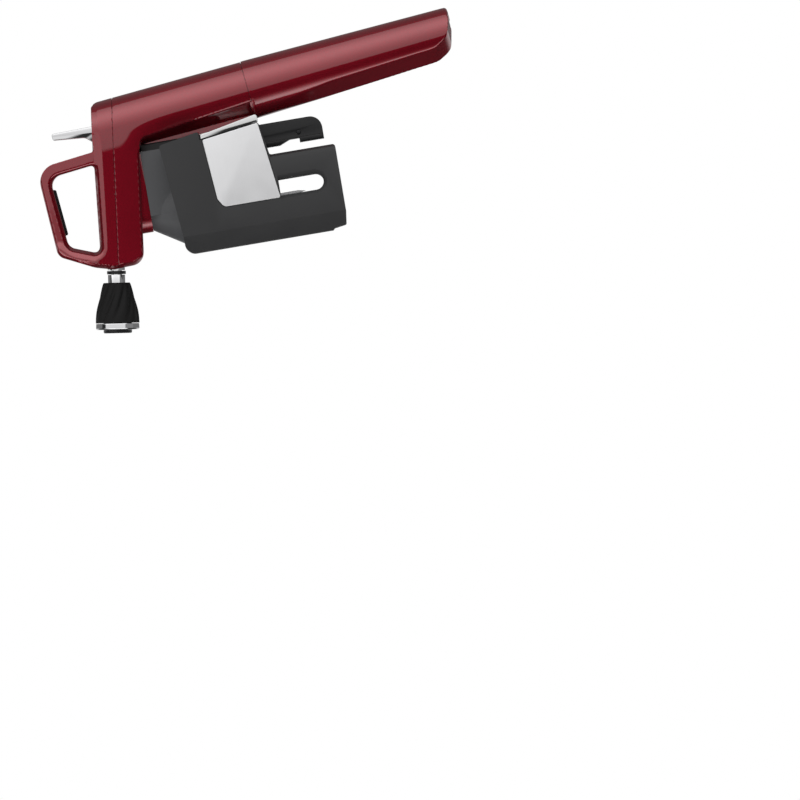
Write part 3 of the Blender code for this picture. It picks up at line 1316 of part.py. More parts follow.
# Spout, needle and hub
def make_spout(body):
    """Chrome spout with a socket end in the column and a nose for what is pushed on."""
    stub = SPOUT_STUB
    tip = stub + SPOUT_NOSE_LENGTH
    groove = SPOUT_NOSE_RADIUS - SEAL_GROOVE_DEPTH
    low = SEAL_GROOVE_START + SEAL_GROOVE_WIDTH
    profile = [(SPOUT_BORE_RADIUS, tip), (SPOUT_NOSE_RADIUS, tip), (SPOUT_NOSE_RADIUS, low),
               (groove, low), (groove, SEAL_GROOVE_START),
               (SPOUT_NOSE_RADIUS, SEAL_GROOVE_START), (SPOUT_NOSE_RADIUS, stub),
               (SPOUT_RADIUS, stub), (SPOUT_RADIUS, FIT_GAP - SPOUT_DEPTH),
               (SPOUT_BORE_RADIUS, FIT_GAP - SPOUT_DEPTH)]
    spout = turned("spout", profile, SPOUT_AXIS, INNER_SIDES, True)
    return keep(shade(spout), "spout", CHROME, body)


def make_spout_seal(body):
    """O-ring on the spout's nose."""
    groove = SPOUT_NOSE_RADIUS - SEAL_GROOVE_DEPTH
    section = (aerator_bore() - groove) / 2 - FIT_GAP
    radius = (aerator_bore() + groove) / 2
    middle = SEAL_GROOVE_START + SEAL_GROOVE_WIDTH / 2
    made = turned("spout_seal", ring_profile(radius, section, middle), SPOUT_AXIS,
                  SMALL_SIDES, True)
    return keep(shade(made), "spout_seal", RUBBER, body)


def make_hub(body):
    """Needle hub screwed into the housing's foot."""
    top = CORE_HEIGHT + FIT_GAP * 3 / 2
    bottom = top - HUB_LENGTH
    inner = NEEDLE_RADIUS + FIT_GAP
    profile = [(inner, top + HUB_STUD_LENGTH - FIT_GAP), (HUB_STUD_RADIUS, top + HUB_STUD_LENGTH
                                                          - FIT_GAP),
               (HUB_STUD_RADIUS, top - FIT_GAP * 2), (HUB_RADIUS, top - FIT_GAP * 2),
               (HUB_RADIUS, bottom + HUB_RADIUS), (HUB_STUD_RADIUS, bottom), (inner, bottom)]
    hub = turned("needle_hub", profile, WORLD, SMALL_SIDES, True)
    return keep(shade(hub), "needle_hub", STEEL, body)


def make_needle(body):
    """Long needle with a pencil point, held in the hub."""
    top = CORE_HEIGHT + HUB_STUD_LENGTH - FIT_GAP * 3
    profile = [(0, top), (NEEDLE_RADIUS, top), (NEEDLE_RADIUS, NEEDLE_TIP - NEEDLE_REACH),
               (0, -NEEDLE_REACH)]
    needle = turned("needle", profile, WORLD, SMALL_SIDES // 2)
    return keep(shade(needle), "needle", STEEL, body)


# Aerator
def collar_start():
    """Distance below the spout's foot at which the aerator begins."""
    return SPOUT_STUB + FIT_GAP


def body_start():
    """Distance below the spout's foot of the rubber body's top."""
    return collar_start() + AERATOR_COLLAR_LENGTH + FIT_GAP + AERATOR_TUBE_SHOWN


def aerator_bore():
    """Radius of the aerator's bore over the spout's nose."""
    return SPOUT_NOSE_RADIUS + FIT_GAP * 2


def make_aerator_collar(body):
    """Black ring at the aerator's mouth."""
    start = collar_start()
    end = start + AERATOR_COLLAR_LENGTH
    outer = AERATOR_COLLAR_RADIUS
    inner = aerator_bore()
    profile = [(outer, end), (outer, start), (inner, start), (inner, end)]
    made = turned("aerator_collar", profile, SPOUT_AXIS, INNER_SIDES, True)
    return keep(shade(made), "aerator_collar", BLACK, body)


def make_aerator_tube(body):
    """Chrome tube between the collar and the rubber body."""
    start = collar_start() + AERATOR_COLLAR_LENGTH + FIT_GAP
    end = start + AERATOR_TUBE_LENGTH
    outer = AERATOR_TUBE_RADIUS
    inner = aerator_bore()
    profile = [(outer, end), (outer, start), (inner, start), (inner, end)]
    made = turned("aerator_tube", profile, SPOUT_AXIS, INNER_SIDES, True)
    return keep(shade(made), "aerator_tube", CHROME, body)


AERATOR_PROFILE_SHARES = [
    (0.00, -0.10), (0.03, 0.02), (0.18, 0.24), (0.43, 0.56), (0.67, 0.84), (0.85, 0.96),
    (1.00, 1.00)]


def make_aerator_body(body):
    """Flared rubber body with slanting flutes."""
    start = body_start()
    sides = AERATOR_FLUTES * 6
    rings = []
    for down_share, out_share in AERATOR_PROFILE_SHARES:
        radius = AERATOR_TOP_RADIUS + (AERATOR_END_RADIUS - AERATOR_TOP_RADIUS) * out_share
        twist = math.radians(AERATOR_TWIST_DEG) * down_share
        ring = []
        for step in range(sides):
            angle = math.tau * step / sides
            wave = (1 - math.cos(AERATOR_FLUTES * angle)) / 2
            reach = radius - AERATOR_FLUTE_DEPTH * wave * math.sin(math.pi * down_share)
            ring.append((reach * math.cos(angle + twist), reach * math.sin(angle + twist),
                         start + AERATOR_LENGTH * down_share))
        rings.append(ring)
    made = loft("aerator_body", rings, SPOUT_AXIS)
    throat = AERATOR_TUBE_RADIUS + FIT_GAP
    chamber = AERATOR_END_RADIUS - AERATOR_WALL
    end = start + AERATOR_LENGTH
    low = end - AERATOR_CHAMBER_DEPTH / 2
    high = end - AERATOR_CHAMBER_DEPTH
    inside = [(0, end + CUT_OVERRUN), (chamber, end + CUT_OVERRUN), (chamber, low),
              (throat, high), (throat, start - CUT_OVERRUN), (0, start - CUT_OVERRUN)]
    cut(made, turned("aerator_inside", inside, SPOUT_AXIS, ROUND_SIDES))
    return keep(shade(made, 30), "aerator_body", RUBBER, body)


def ring_start():
    """Distance below the spout's foot of the chrome ring's top."""
    return body_start() + AERATOR_LENGTH + FIT_GAP


def make_aerator_ring(body):
    """Chrome ring that closes the rubber body."""
    start = ring_start()
    end = start + RING_LENGTH
    outer = AERATOR_END_RADIUS
    foot = outer - RING_LENGTH / 3
    lip = end - RING_LENGTH / 4
    profile = [(RING_BORE_RADIUS, end), (foot - RING_LENGTH / 8, end), (foot, lip),
               (outer - RING_LENGTH / 16, start + RING_LENGTH / 8), (outer - RING_LENGTH / 10,
                                                                      start),
               (RING_BORE_RADIUS, start)]
    made = turned("aerator_ring", profile, SPOUT_AXIS, ROUND_SIDES, True)
    return keep(shade(made), "aerator_ring", CHROME, body)


def make_screen(body):
    """Black shower screen held behind the ring, with a circle of holes."""
    end = ring_start() + RING_LENGTH + SCREEN_PROUD
    shelf = ring_start() - FIT_GAP
    start = shelf - SCREEN_FLANGE
    flange = AERATOR_END_RADIUS - AERATOR_WALL - FIT_GAP
    radius = RING_BORE_RADIUS - FIT_GAP
    edge = SCREEN_FLANGE / 3
    profile = [(0, end), (radius - edge, end), (radius, end - edge), (radius, shelf),
               (flange, shelf), (flange, start), (0, start)]
    made = turned("aerator_screen", profile, SPOUT_AXIS, ROUND_SIDES)
    for step in range(SCREEN_HOLES):
        spin = Matrix.Rotation(math.tau * (step + 1 / 3) / SCREEN_HOLES, 4, 'Z')
        place = SPOUT_AXIS @ spin @ Matrix.Translation((radius * 2 / 3, 0, 0))
        cut(made, rod("screen_hole", SCREEN_HOLE_RADIUS, start - CUT_OVERRUN, end + CUT_OVERRUN,
                      place, 8))
    return keep(shade(made), "aerator_screen", BLACK, body)


def build():
    """Make every body's carrier and every piece."""
    clamp = carrier("clamp_body", WORLD)
    near = carrier("jaw_near_body", Matrix.Translation((0, -PIN_HALF_SPACING, -PIN_DROP)), clamp)
    far = carrier("jaw_far_body", Matrix.Translation((0, PIN_HALF_SPACING, -PIN_DROP)), clamp)
    head = carrier("head_body", WORLD, clamp)
    lever = carrier("trigger_body", pivot_frame(), head)
    valve = carrier("valve_body", along(SEAM + stem_top() * TUBE_DIR, TUBE_DIR), head)
    gas = carrier("capsule_body", TUBE_AXIS, head)
    screw_cup = carrier("cup_body", TUBE_AXIS, gas)
    aerator = carrier("aerator_carrier", SPOUT_AXIS, head)

    make_core(clamp)
    make_seat(clamp)
    make_guide(clamp)
    make_collar(clamp)
    for word, side, body in (("near", -1, near), ("far", 1, far)):
        make_pin("jaw_pin_" + word, side, clamp)
        make_jaw_spring("jaw_spring_" + word, side, clamp)
        make_jaw("jaw_" + word, side, body)
        make_plate("jaw_plate_" + word, side, body)
        make_pad("jaw_pad_" + word, side, body)

    make_housing(head)
    make_cover(head)
    make_loop_pad(head)
    make_rail(head)
    make_stop_pin(head)
    make_trigger_pin(head)
    make_valve_spring(head)
    for make in (make_regulator, make_cap, make_capsule_seal, make_piercer, make_piston,
                 make_piston_seal, make_regulator_spring, make_spout, make_spout_seal,
                 make_hub, make_needle):
        make(head)
    make_trigger(lever)
    make_stem(valve)
    make_capsule(gas)
    make_cup(screw_cup)
    make_cushion(screw_cup)
    for make in (make_aerator_collar, make_aerator_tube, make_aerator_body, make_aerator_ring,
                 make_screen):
        make(aerator)


build()
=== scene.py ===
# %% [markdown]
# # Wine preservation dispenser
#
# A lesson in dressing a CAD frame. The frame holds the solids and their joints.
# This file gives them the shapes, edges and finishes that the eye sees, and lights them
# as in a small studio. Each piece is made where the frame says it is, in metres.

# %% Load the frame
import json
import math

import bmesh
import bpy
from mathutils import Matrix, Vector
from mathutils.kdtree import KDTree


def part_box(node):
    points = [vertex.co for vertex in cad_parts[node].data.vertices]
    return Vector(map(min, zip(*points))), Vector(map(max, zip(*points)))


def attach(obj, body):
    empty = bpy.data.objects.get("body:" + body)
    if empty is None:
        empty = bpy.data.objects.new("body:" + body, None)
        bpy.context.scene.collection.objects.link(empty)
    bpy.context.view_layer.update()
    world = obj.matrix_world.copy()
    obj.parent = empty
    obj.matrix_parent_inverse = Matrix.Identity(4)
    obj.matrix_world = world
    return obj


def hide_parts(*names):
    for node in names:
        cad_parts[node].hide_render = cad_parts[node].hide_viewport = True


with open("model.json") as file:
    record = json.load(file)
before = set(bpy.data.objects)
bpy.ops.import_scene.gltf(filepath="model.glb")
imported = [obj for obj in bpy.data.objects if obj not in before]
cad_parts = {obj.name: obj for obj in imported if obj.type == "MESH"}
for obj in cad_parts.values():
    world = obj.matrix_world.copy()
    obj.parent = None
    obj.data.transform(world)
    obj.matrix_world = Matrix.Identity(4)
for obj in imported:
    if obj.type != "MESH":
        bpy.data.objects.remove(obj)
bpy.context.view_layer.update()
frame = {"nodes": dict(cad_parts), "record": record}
print("nodes in the frame:", len(frame["nodes"]))

# %% [markdown]
# ## Places that the pieces share
#
# The tube, the column and the spout each lean a little, so each has a frame of its own.
# A shape is drawn upright in such a frame and then carried into place by its matrix.
# The other way, to turn every object and leave it turned, would make a pattern slide when
# the piece is put back at the origin.

# %% Frames
MM = 0.001
HEAD_CENTRE = Vector((45.7405, 0, 30.6)) * MM  # on the tube's axis, in the column's seam
SEAM = Vector((53.3840, 0, -37.9753)) * MM  # on it too, between housing and cup
TUBE_LEAN = math.radians(6.36)
COLUMN_LEAN = math.radians(7.2)
SPOUT_LEAN = math.radians(8.2)
TUBE_DIR = Vector((math.sin(TUBE_LEAN), 0, -math.cos(TUBE_LEAN)))
TUBE_UP = Vector((math.cos(TUBE_LEAN), 0, math.sin(TUBE_LEAN)))
DOWN_DIR = Vector((-math.cos(COLUMN_LEAN), 0, math.sin(COLUMN_LEAN)))
FRONT_DIR = Vector((math.sin(COLUMN_LEAN), 0, math.cos(COLUMN_LEAN)))
SPOUT_DIR = Vector((-math.cos(SPOUT_LEAN), 0, math.sin(SPOUT_LEAN)))
ACROSS = Vector((0, 1, 0))


def mm(*numbers):
    """Millimetres as metres."""
    return tuple(number * MM for number in numbers)


def frame_of(origin, x_axis, y_axis):
    """Matrix of a frame from its origin and its first two axes."""
    rows = Matrix((x_axis, y_axis, x_axis.cross(y_axis))).transposed().to_4x4()
    return Matrix.Translation(origin) @ rows


def axis_frame(origin, direction):
    """Frame whose Z runs along a direction in the plane of symmetry."""
    return frame_of(origin, ACROSS.cross(direction), ACROSS)


DROP = 69.2 * MM  # from the tube's axis down to the column's foot
TUBE_LONG = 69 * MM  # from the column to the cup's seam
SPOUT_SINK = 0.3 * MM
SPOUT_AHEAD = 1.3 * MM
SPOUT_FOOT = HEAD_CENTRE + (DROP - SPOUT_SINK) * DOWN_DIR + SPOUT_AHEAD * FRONT_DIR
WORLD = Matrix.Identity(4)
COLUMN_SIDE = frame_of(HEAD_CENTRE, DOWN_DIR, FRONT_DIR)
TUBE_SIDE = frame_of(SEAM, TUBE_DIR, TUBE_UP)
TUBE_AXIS = axis_frame(SEAM, TUBE_DIR)
SPOUT_AXIS = axis_frame(SPOUT_FOOT, SPOUT_DIR)
print("spout foot, mm:", [round(c / MM, 2) for c in SPOUT_FOOT])

# %% [markdown]
# ## The camera
#
# The photograph looks straight at the dispenser's side, with the tube's end to the right.
# A long lens from far away keeps parallel edges parallel, as they are in the photograph.
# The camera is rolled, because the object stands upright in the frame.

# %% Camera
ROLL = math.radians(9.6)
PICTURE_WIDTH = 393.6 * MM  # what the picture spans at the object
PICTURE_CENTRE = (-0.1094, -0.0863)  # x and z of the picture's middle
DISTANCE = 8.0
SENSOR = 36
VIEW_RIGHT = Vector((-math.sin(ROLL), 0, -math.cos(ROLL)))
VIEW_UP = Vector((math.cos(ROLL), 0, -math.sin(ROLL)))
VIEW_BACK = Vector((0, -1, 0))
camera = bpy.data.objects.new("camera", bpy.data.cameras.new("camera"))
bpy.context.scene.collection.objects.link(camera)
camera.matrix_world = Matrix.Translation(
    (PICTURE_CENTRE[0], -DISTANCE, PICTURE_CENTRE[1])) @ Matrix(
    (VIEW_RIGHT, VIEW_UP, VIEW_BACK)).transposed().to_4x4()
camera.data.sensor_width = SENSOR
camera.data.lens = SENSOR * DISTANCE / PICTURE_WIDTH
camera.data.clip_start = 0.1
camera.data.clip_end = 100
bpy.context.scene.camera = camera
print("lens, mm:", round(camera.data.lens, 1))

# %% [markdown]
# ## Shader maths as plain expressions
#
# A wrapped socket knows how to add, subtract, multiply and divide, so that a mask reads
# as the formula it is. Wiring each Math node by hand would hide the formula among the
# links. Any other node comes from one method of the finish that it belongs to.


# %% A socket that does sums
class Value:
    """Output socket of a node tree, usable in Python expressions."""

    def __init__(self, tree, socket):
        self.tree = tree
        self.socket = socket

    def maths(self, operation, *others):
        """Math node on this value and others."""
        step = self.tree.nodes.new("ShaderNodeMath")
        step.operation = operation
        for place, one in zip(step.inputs, (self, *others)):
            if isinstance(one, Value):
                self.tree.links.new(one.socket, place)
            else:
                place.default_value = one
        return Value(self.tree, step.outputs[0])

    def __add__(self, other):
        return self.maths('ADD', other)

    __radd__ = __add__

    def __mul__(self, other):
        return self.maths('MULTIPLY', other)

    __rmul__ = __mul__

    def __sub__(self, other):
        return self.maths('SUBTRACT', other)

    def __rsub__(self, other):
        return (self * -1).maths('ADD', other)

    def __truediv__(self, other):
        return self.maths('DIVIDE', other)

    def __rtruediv__(self, other):
        return self.maths('POWER', -1).maths('MULTIPLY', other)

    def clipped(self):
        """The value kept between 0 and 1."""
        return self.maths('MAXIMUM', 0).maths('MINIMUM', 1)


class Finish:
    """A material under construction, with its shader and its pattern coordinates."""

    def __init__(self, name, colour, **constants):
        self.material = bpy.data.materials.new(name)
        self.material.use_nodes = True
        self.tree = self.material.node_tree
        self.shader = self.tree.nodes["Principled BSDF"]
        self.put("Base Color", (*colour, 1))
        for key, constant in constants.items():
            self.put(key.replace("_", " ").title().replace("Ior", "IOR"), constant)
        self.place = self.node("TexCoord", "Object")

    def put(self, socket, value):
        """Set a socket of the shader, or link a value to it."""
        if isinstance(value, Value):
            self.tree.links.new(value.socket, self.shader.inputs[socket])
        else:
            self.shader.inputs[socket].default_value = value

    def node(self, kind, output, settings=(), **values):
        """Any other node: its kind, the output wanted, its settings and its sockets.

        A socket goes by its name, or by i and its number where names repeat.
        """
        step = self.tree.nodes.new("ShaderNode" + kind)
        for key, setting in dict(settings).items():
            setattr(step, key, setting)
        for key, value in values.items():
            socket = step.inputs[int(key[1:]) if key[0] == "i" and key[1:].isdigit()
                                 else key.replace("_", " ")]
            if isinstance(value, Value):
                self.tree.links.new(value.socket, socket)
            else:
                socket.default_value = value
        return Value(self.tree, step.outputs[output])

    def noise(self, scale, detail=2.0, rough=0.5):
        """Cloudy pattern at a number of blobs per metre."""
        return self.node("TexNoise", 0, {"noise_dimensions": '3D'}, Vector=self.place,
                         Scale=scale, Detail=detail, Roughness=rough)

    def blend(self, mask, first, second):
        """Colour between two colours by a mask; 6 and 7 are the node's colour sockets."""
        return self.node("Mix", 2, {"data_type": 'RGBA'}, Factor=mask, i6=(*first, 1),
                         i7=(*second, 1))

    def bump(self, height, strength, depth):
        """Relief from a height pattern, with its depth in metres."""
        self.put("Normal", self.node("Bump", 0, Height=height, Strength=strength,
                                     Distance=depth))


print("methods of a finish:", [name for name in vars(Finish) if name[0] != "_"])

# %% [markdown]
# ## The finishes
#
# The burgundy shell is moulded plastic under a metallic lacquer: a dark red with fine
# flake, and a clear coat that carries the sharp reflections. One glossy red could show
# the reflections or the glow, but not both. The jaws are textured plastic, the plates
# satin metal, the trigger and the spout chrome.


# %% Finishes
def burgundy_lacquer():
    """Deep red flake under a clear coat."""
    made = Finish("burgundy_lacquer", (0.235, 0.0036, 0.0130), metallic=0.72, roughness=0.36,
                  specular_ior_level=0.0, coat_weight=1.0, coat_roughness=0.02, coat_ior=1.8)
    flake = made.node("TexVoronoi", 1, {"feature": 'F1'}, Vector=made.place, Scale=5200.0)
    cloud = made.noise(45.0, 3.0)
    bright = made.node("SeparateColor", 0, Color=flake) * 0.5 + cloud * 0.5
    made.put("Base Color", made.blend(bright.clipped(), (0.190, 0.0020, 0.0095),
                                      (0.280, 0.0046, 0.0165)))
    made.put("Roughness", made.noise(160.0, 2.0) * 0.08 + 0.30)
    made.bump(made.noise(700.0, 1.0), 0.05, 0.00002)
    return made.material


def satin_plastic(name, shade, lighter, roughness):
    """Moulded plastic with a fine spark-eroded grain."""
    made = Finish(name, shade, roughness=roughness, specular_ior_level=0.3)
    grain = made.noise(3200.0, 2.0, 0.6)
    cloud = made.noise(60.0, 4.0)
    made.put("Base Color", made.blend((cloud * 0.6 + grain * 0.4).clipped(), shade, lighter))
    made.put("Roughness", (cloud - 0.5) * 0.12 + grain * 0.08 + (roughness - 0.04))
    made.bump(grain, 0.25, 0.00003)
    return made.material


def rubber(name, shade, lighter):
    """Matt moulded rubber with a dusty, uneven sheen."""
    made = Finish(name, shade, roughness=0.62, specular_ior_level=0.15)
    dust = made.noise(900.0, 5.0, 0.65)
    cloud = made.noise(90.0, 3.0)
    made.put("Base Color", made.blend((dust * 0.5 + cloud * 0.5).clipped(), shade, lighter))
    made.put("Roughness", cloud * 0.20 + 0.48)
    made.bump(dust, 0.35, 0.00004)
    return made.material


def metal(name, colour, roughness, brushed=0.0, metallic=1.0):
    """Metal with faint lines left by polishing or brushing."""
    made = Finish(name, colour, metallic=metallic, roughness=roughness)
    if brushed:
        stretch = made.node("Mapping", 0, Vector=made.place, Scale=(60.0, 60.0, 6000.0))
        lines = made.node("TexNoise", 0, Vector=stretch, Scale=1.0, Detail=4.0)
    else:
        lines = made.noise(2500.0, 2.0)
    smudge = made.noise(110.0, 4.0, 0.6)
    darker = tuple(part * 0.90 for part in colour)
    made.put("Base Color", made.blend((lines * 0.5 + smudge * 0.5).clipped(), darker, colour))
    made.put("Roughness", (lines - 0.5) * brushed + smudge * roughness * 0.5 + roughness * 0.75)
    made.bump(lines, 0.08 + brushed, 0.00001)
    return made.material


BURGUNDY = burgundy_lacquer()
JAW_GREY = satin_plastic("jaw_plastic", (0.024, 0.024, 0.025), (0.032, 0.032, 0.033), 0.45)
CORE_GREY = satin_plastic("core_plastic", (0.060, 0.061, 0.064), (0.078, 0.079, 0.083), 0.42)
BLACK = satin_plastic("black_plastic", (0.009, 0.009, 0.010), (0.015, 0.015, 0.016), 0.30)
WHITE = satin_plastic("white_plastic", (0.70, 0.70, 0.68), (0.78, 0.78, 0.76), 0.40)
RUBBER = rubber("black_rubber", (0.005, 0.005, 0.005), (0.010, 0.0095, 0.0095))
SILVER = metal("satin_silver", (0.80, 0.80, 0.81), 0.45, 0.04, 0.6)
ROOF_SILVER = metal("polished_silver", (0.93, 0.93, 0.93), 0.07)
CHROME = metal("chrome", (0.93, 0.93, 0.94), 0.05)
STEEL = metal("steel", (0.56, 0.56, 0.57), 0.24, 0.04)
BLACK_STEEL = metal("black_steel", (0.035, 0.035, 0.037), 0.30, 0.03)
BRASS = metal("brass", (0.70, 0.52, 0.25), 0.28, 0.03)
print("finishes:", len(bpy.data.materials))

# %% [markdown]
# ## Tools of the bench: drawing
#
# Four helpers draw nearly every piece: a slab from a rounded outline, a turned piece from
# a profile, a plain block and a rod. Each starts a bmesh, lets Blender's operators do the
# work, and puts the piece's place into its mesh, so that the object stays at the origin.


# %% Drawing helpers
def new_piece(name, work, place=WORLD):
    """Object from a bmesh, with its place put into the mesh."""
    bmesh.ops.recalc_face_normals(work, faces=work.faces)
    mesh = bpy.data.meshes.new(name)
    work.to_mesh(mesh)
    work.free()
    mesh.transform(place)
    made = bpy.data.objects.new(name, mesh)
    bpy.context.scene.collection.objects.link(made)
    return made


def outline(corners, low=0, steps=10):
    """Flat face over an outline of corners (x, y, radius), in a bmesh of its own."""
    work = bmesh.new()
    verts = [work.verts.new((x, y, low)) for x, y, radius in corners]
    work.faces.new(verts)
    count = len(corners)
    offsets = []
    for index, (x, y, radius) in enumerate(corners):
        here = Vector((x, y))
        before = Vector(corners[index - 1][:2]) - here
        after = Vector(corners[(index + 1) % count][:2]) - here
        offsets.append(radius / math.tan(before.angle(after) / 2) if radius > 0 else 0)
    for vert, offset in zip(verts, offsets):
        if offset:
            bmesh.ops.bevel(work, geom=[vert], offset=offset, offset_type='OFFSET',
                            affect='VERTICES', segments=steps, profile=0.5, material=-1)
    return work


def slab(name, corners, low, high, place=WORLD, steps=10):
    """Plate between two heights over an outline of corners."""
    work = outline(corners, low, steps)
    raised = bmesh.ops.extrude_face_region(work, geom=work.faces[:])
    lifted = [one for one in raised["geom"] if isinstance(one, bmesh.types.BMVert)]
    bmesh.ops.translate(work, vec=(0, 0, high - low), verts=lifted)
    return new_piece(name, work, place)


def turned(name, profile, place=WORLD, sides=128, closed=False):
    """Piece turned on its frame's Z from (radius, height) points."""
    work = bmesh.new()
    verts = [work.verts.new((radius, 0, height)) for radius, height in profile]
    pairs = list(zip(verts, verts[1:])) + ([(verts[-1], verts[0])] if closed else [])
    edges = [work.edges.new(pair) for pair in pairs]
    bmesh.ops.spin(work, geom=verts + edges, cent=(0, 0, 0), axis=(0, 0, 1),
                   angle=math.tau, steps=sides, use_merge=True)
    bmesh.ops.remove_doubles(work, verts=work.verts, dist=1e-7)
    return new_piece(name, work, place)


def block(name, low, high, place=WORLD):
    """Box between two corners of a frame."""
    work = bmesh.new()
    size = Vector(high) - Vector(low)
    bmesh.ops.create_cube(work, size=1, matrix=Matrix.Translation(
        (Vector(low) + Vector(high)) / 2) @ Matrix.Diagonal((*size, 1)))
    return new_piece(name, work, place)


def rod(name, radius, low, high, place=WORLD, sides=64):
    """Cylinder along a frame's Z between two heights."""
    work = bmesh.new()
    bmesh.ops.create_cone(work, cap_ends=True, segments=sides, radius1=radius, radius2=radius,
                          depth=high - low, matrix=Matrix.Translation((0, 0, (low + high) / 2)))
    return new_piece(name, work, place)


def curved(points, steps=6):
    """Points along a smooth curve through a row of points."""
    ends = [points[0]] + list(points) + [points[-1]]
    made = []
    for before, first, second, after in zip(ends, ends[1:], ends[2:], ends[3:]):
        for step in range(steps):
            t = step / steps
            made.append(tuple(0.5 * (2 * b + (c - a) * t + (2 * a - 5 * b + 4 * c - d) * t * t
                                     + (3 * b - a - 3 * c + d) * t ** 3)
                              for a, b, c, d in zip(before, first, second, after)))
    return made + [tuple(points[-1])]


print("drawing helpers:", [one.__name__ for one in (slab, turned, block, rod, curved)])

# %% [markdown]
# ## Tools of the bench: working
#
# A drawn piece is cut, joined, rounded and at last given its finish. Modifiers do the
# booleans, the bevels and the skins. They are applied at once, so that the next step can
# work on the mesh that they leave.


# %% Working helpers
def applied(piece):
    """Turn a piece's modifiers into mesh."""
    bpy.context.view_layer.update()
    graph = bpy.context.evaluated_depsgraph_get()
    mesh = bpy.data.meshes.new_from_object(piece.evaluated_get(graph))
    piece.modifiers.clear()
    piece.data = mesh
    return piece


def combined(piece, tools, operation):
    """Boolean of a piece with other pieces, which go afterwards."""
    for tool in tools:
        step = piece.modifiers.new(tool.name, 'BOOLEAN')
        step.operation = operation
        step.solver = 'EXACT'
        step.object = tool
    applied(piece)
    for tool in tools:
        bpy.data.objects.remove(tool, do_unlink=True)
    return piece


def bevelled(piece, width, segments=3, angle=30):
    """Round a piece's sharp edges."""
    step = piece.modifiers.new("edges", 'BEVEL')
    step.width = width
    step.segments = segments
    step.limit_method = 'ANGLE'
    step.angle_limit = math.radians(angle)
    step.miter_outer = 'MITER_ARC'
    return applied(piece)


def melted(piece, voxel, rounds):
    """Melt a piece's parts into one even skin, and smooth the steps out of it."""
    melt = piece.modifiers.new("melt", 'REMESH')
    melt.mode = 'VOXEL'
    melt.voxel_size = voxel
    soften = piece.modifiers.new("soften", 'SMOOTH')
    soften.factor = 0.5
    soften.iterations = rounds
    return applied(piece)


def worked(piece, change):
    """Run bmesh operators on a piece."""
    work = bmesh.new()
    work.from_mesh(piece.data)
    change(work)
    work.to_mesh(piece.data)
    work.free()
    return piece


def cut_flat(work, place, normal):
    """Cut off what lies behind a plane and close the cut; gives its rim and its caps."""
    cut = bmesh.ops.bisect_plane(
        work, geom=work.verts[:] + work.edges[:] + work.faces[:], dist=0.01 * MM,
        plane_co=place, plane_no=normal, clear_inner=True)
    rim = [one for one in cut["geom_cut"] if isinstance(one, bmesh.types.BMEdge)]
    return rim, bmesh.ops.holes_fill(work, edges=rim, sides=0)["faces"]


def stepped(work, caps, inward, shift):
    """Inset the caps of a cut and move what lies inside the inset."""
    bmesh.ops.inset_region(work, faces=caps, thickness=inward, use_even_offset=True)
    inner = {vert for face in caps for vert in face.verts}
    bmesh.ops.translate(work, vec=shift, verts=list(inner))


def merged_copy(node, name):
    """Merged copy of a CAD node's mesh, with its flat triangles joined."""
    piece = bpy.data.objects.new(name, frame["nodes"][node].data.copy())
    bpy.context.scene.collection.objects.link(piece)

    def merge(work):
        bmesh.ops.remove_doubles(work, verts=work.verts, dist=2e-6)
        bmesh.ops.dissolve_limit(work, angle_limit=math.radians(0.5), verts=work.verts,
                                 edges=work.edges)

    return worked(piece, merge)


def finished(piece, finish, slot, body, *nodes, angle=35):
    """Smooth a piece, give it its finish, and hang it where its nodes hang."""
    piece.data.materials.clear()
    piece.data.materials.append(finish)
    piece.data.shade_smooth()
    piece.data.set_sharp_from_angle(angle=math.radians(angle))
    if nodes:
        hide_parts(*nodes)
    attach(piece, body)
    piece.data.calc_loop_triangles()
    print(piece.name, "triangles:", len(piece.data.loop_triangles))
    return piece


print("working helpers:", [one.__name__ for one in (combined, bevelled, melted, finished)])

# %% [markdown]
# ## The head: tube, column and finger loop
#
# On the real thing these are two mouldings that meet on a seam down the column. The side
# of the tube runs into the side of the column without an edge, so the whole head is drawn
# as one body first: a cone for the top, a slab for all that hangs below the tube's axis.
# The outlines are shares of a few sizes, so that the loop keeps its form when they change.

# %% Shares of the head's outline
TUBE_RADIUS = 14.3 * MM  # at the cup's seam
HEAD_RADIUS = 14.8 * MM  # at the column
FACE_REACH = 10.4 * MM  # from the column's seam to its front face
LOOP_REACH = 38.4 * MM  # from the same seam to the loop's front
RIM_STEPS = 12
# The nose goes by shares of the radius and the face's reach. A corner of the loop has its
# share of the drop, its share of the loop's reach, and its rounding as a share of the same.
NOSE_LINE = [(-1.014, 0.145), (-0.939, 0.577), (-0.831, 0.856), (-0.703, 1.000)]
LOOP_OUTER = [(0.160, 0.252, 0.000), (0.267, 1.000, 0.245), (0.895, 0.768, 0.125),
              (0.984, 0.300, 0.400), (1.002, 0.065, 0.080)]
LOW_BACK = (0.965, 0.165)  # the column's low corner: down, and rounding
LOOP_INNER = [(0.255, 0.260, 0.040), (0.335, 0.832, 0.145), (0.830, 0.625, 0.120),
              (0.884, 0.228, 0.070)]
LEAN = TUBE_LEAN + COLUMN_LEAN
BACK_CORNER = Vector((31.998 * MM, 0, 19.6 * MM))
COLUMN_BACK = -(BACK_CORNER - HEAD_CENTRE).dot(FRONT_DIR)
print("column's back edge, mm:", round(COLUMN_BACK / MM, 3))


def below_tube(front, drop):
    """Place in the column's side view, from its front and its drop below the tube's axis."""
    return (drop / math.cos(LEAN) + front * math.tan(LEAN), front)


def drop_at(down, front):
    """How far a place of the side view lies below the tube's axis."""
    return down * math.cos(LEAN) - front * math.sin(LEAN)


def spot(down, front, corner):
    """Corner of the loop's outline from its shares."""
    return (DROP * down, LOOP_REACH * front, LOOP_REACH * corner)


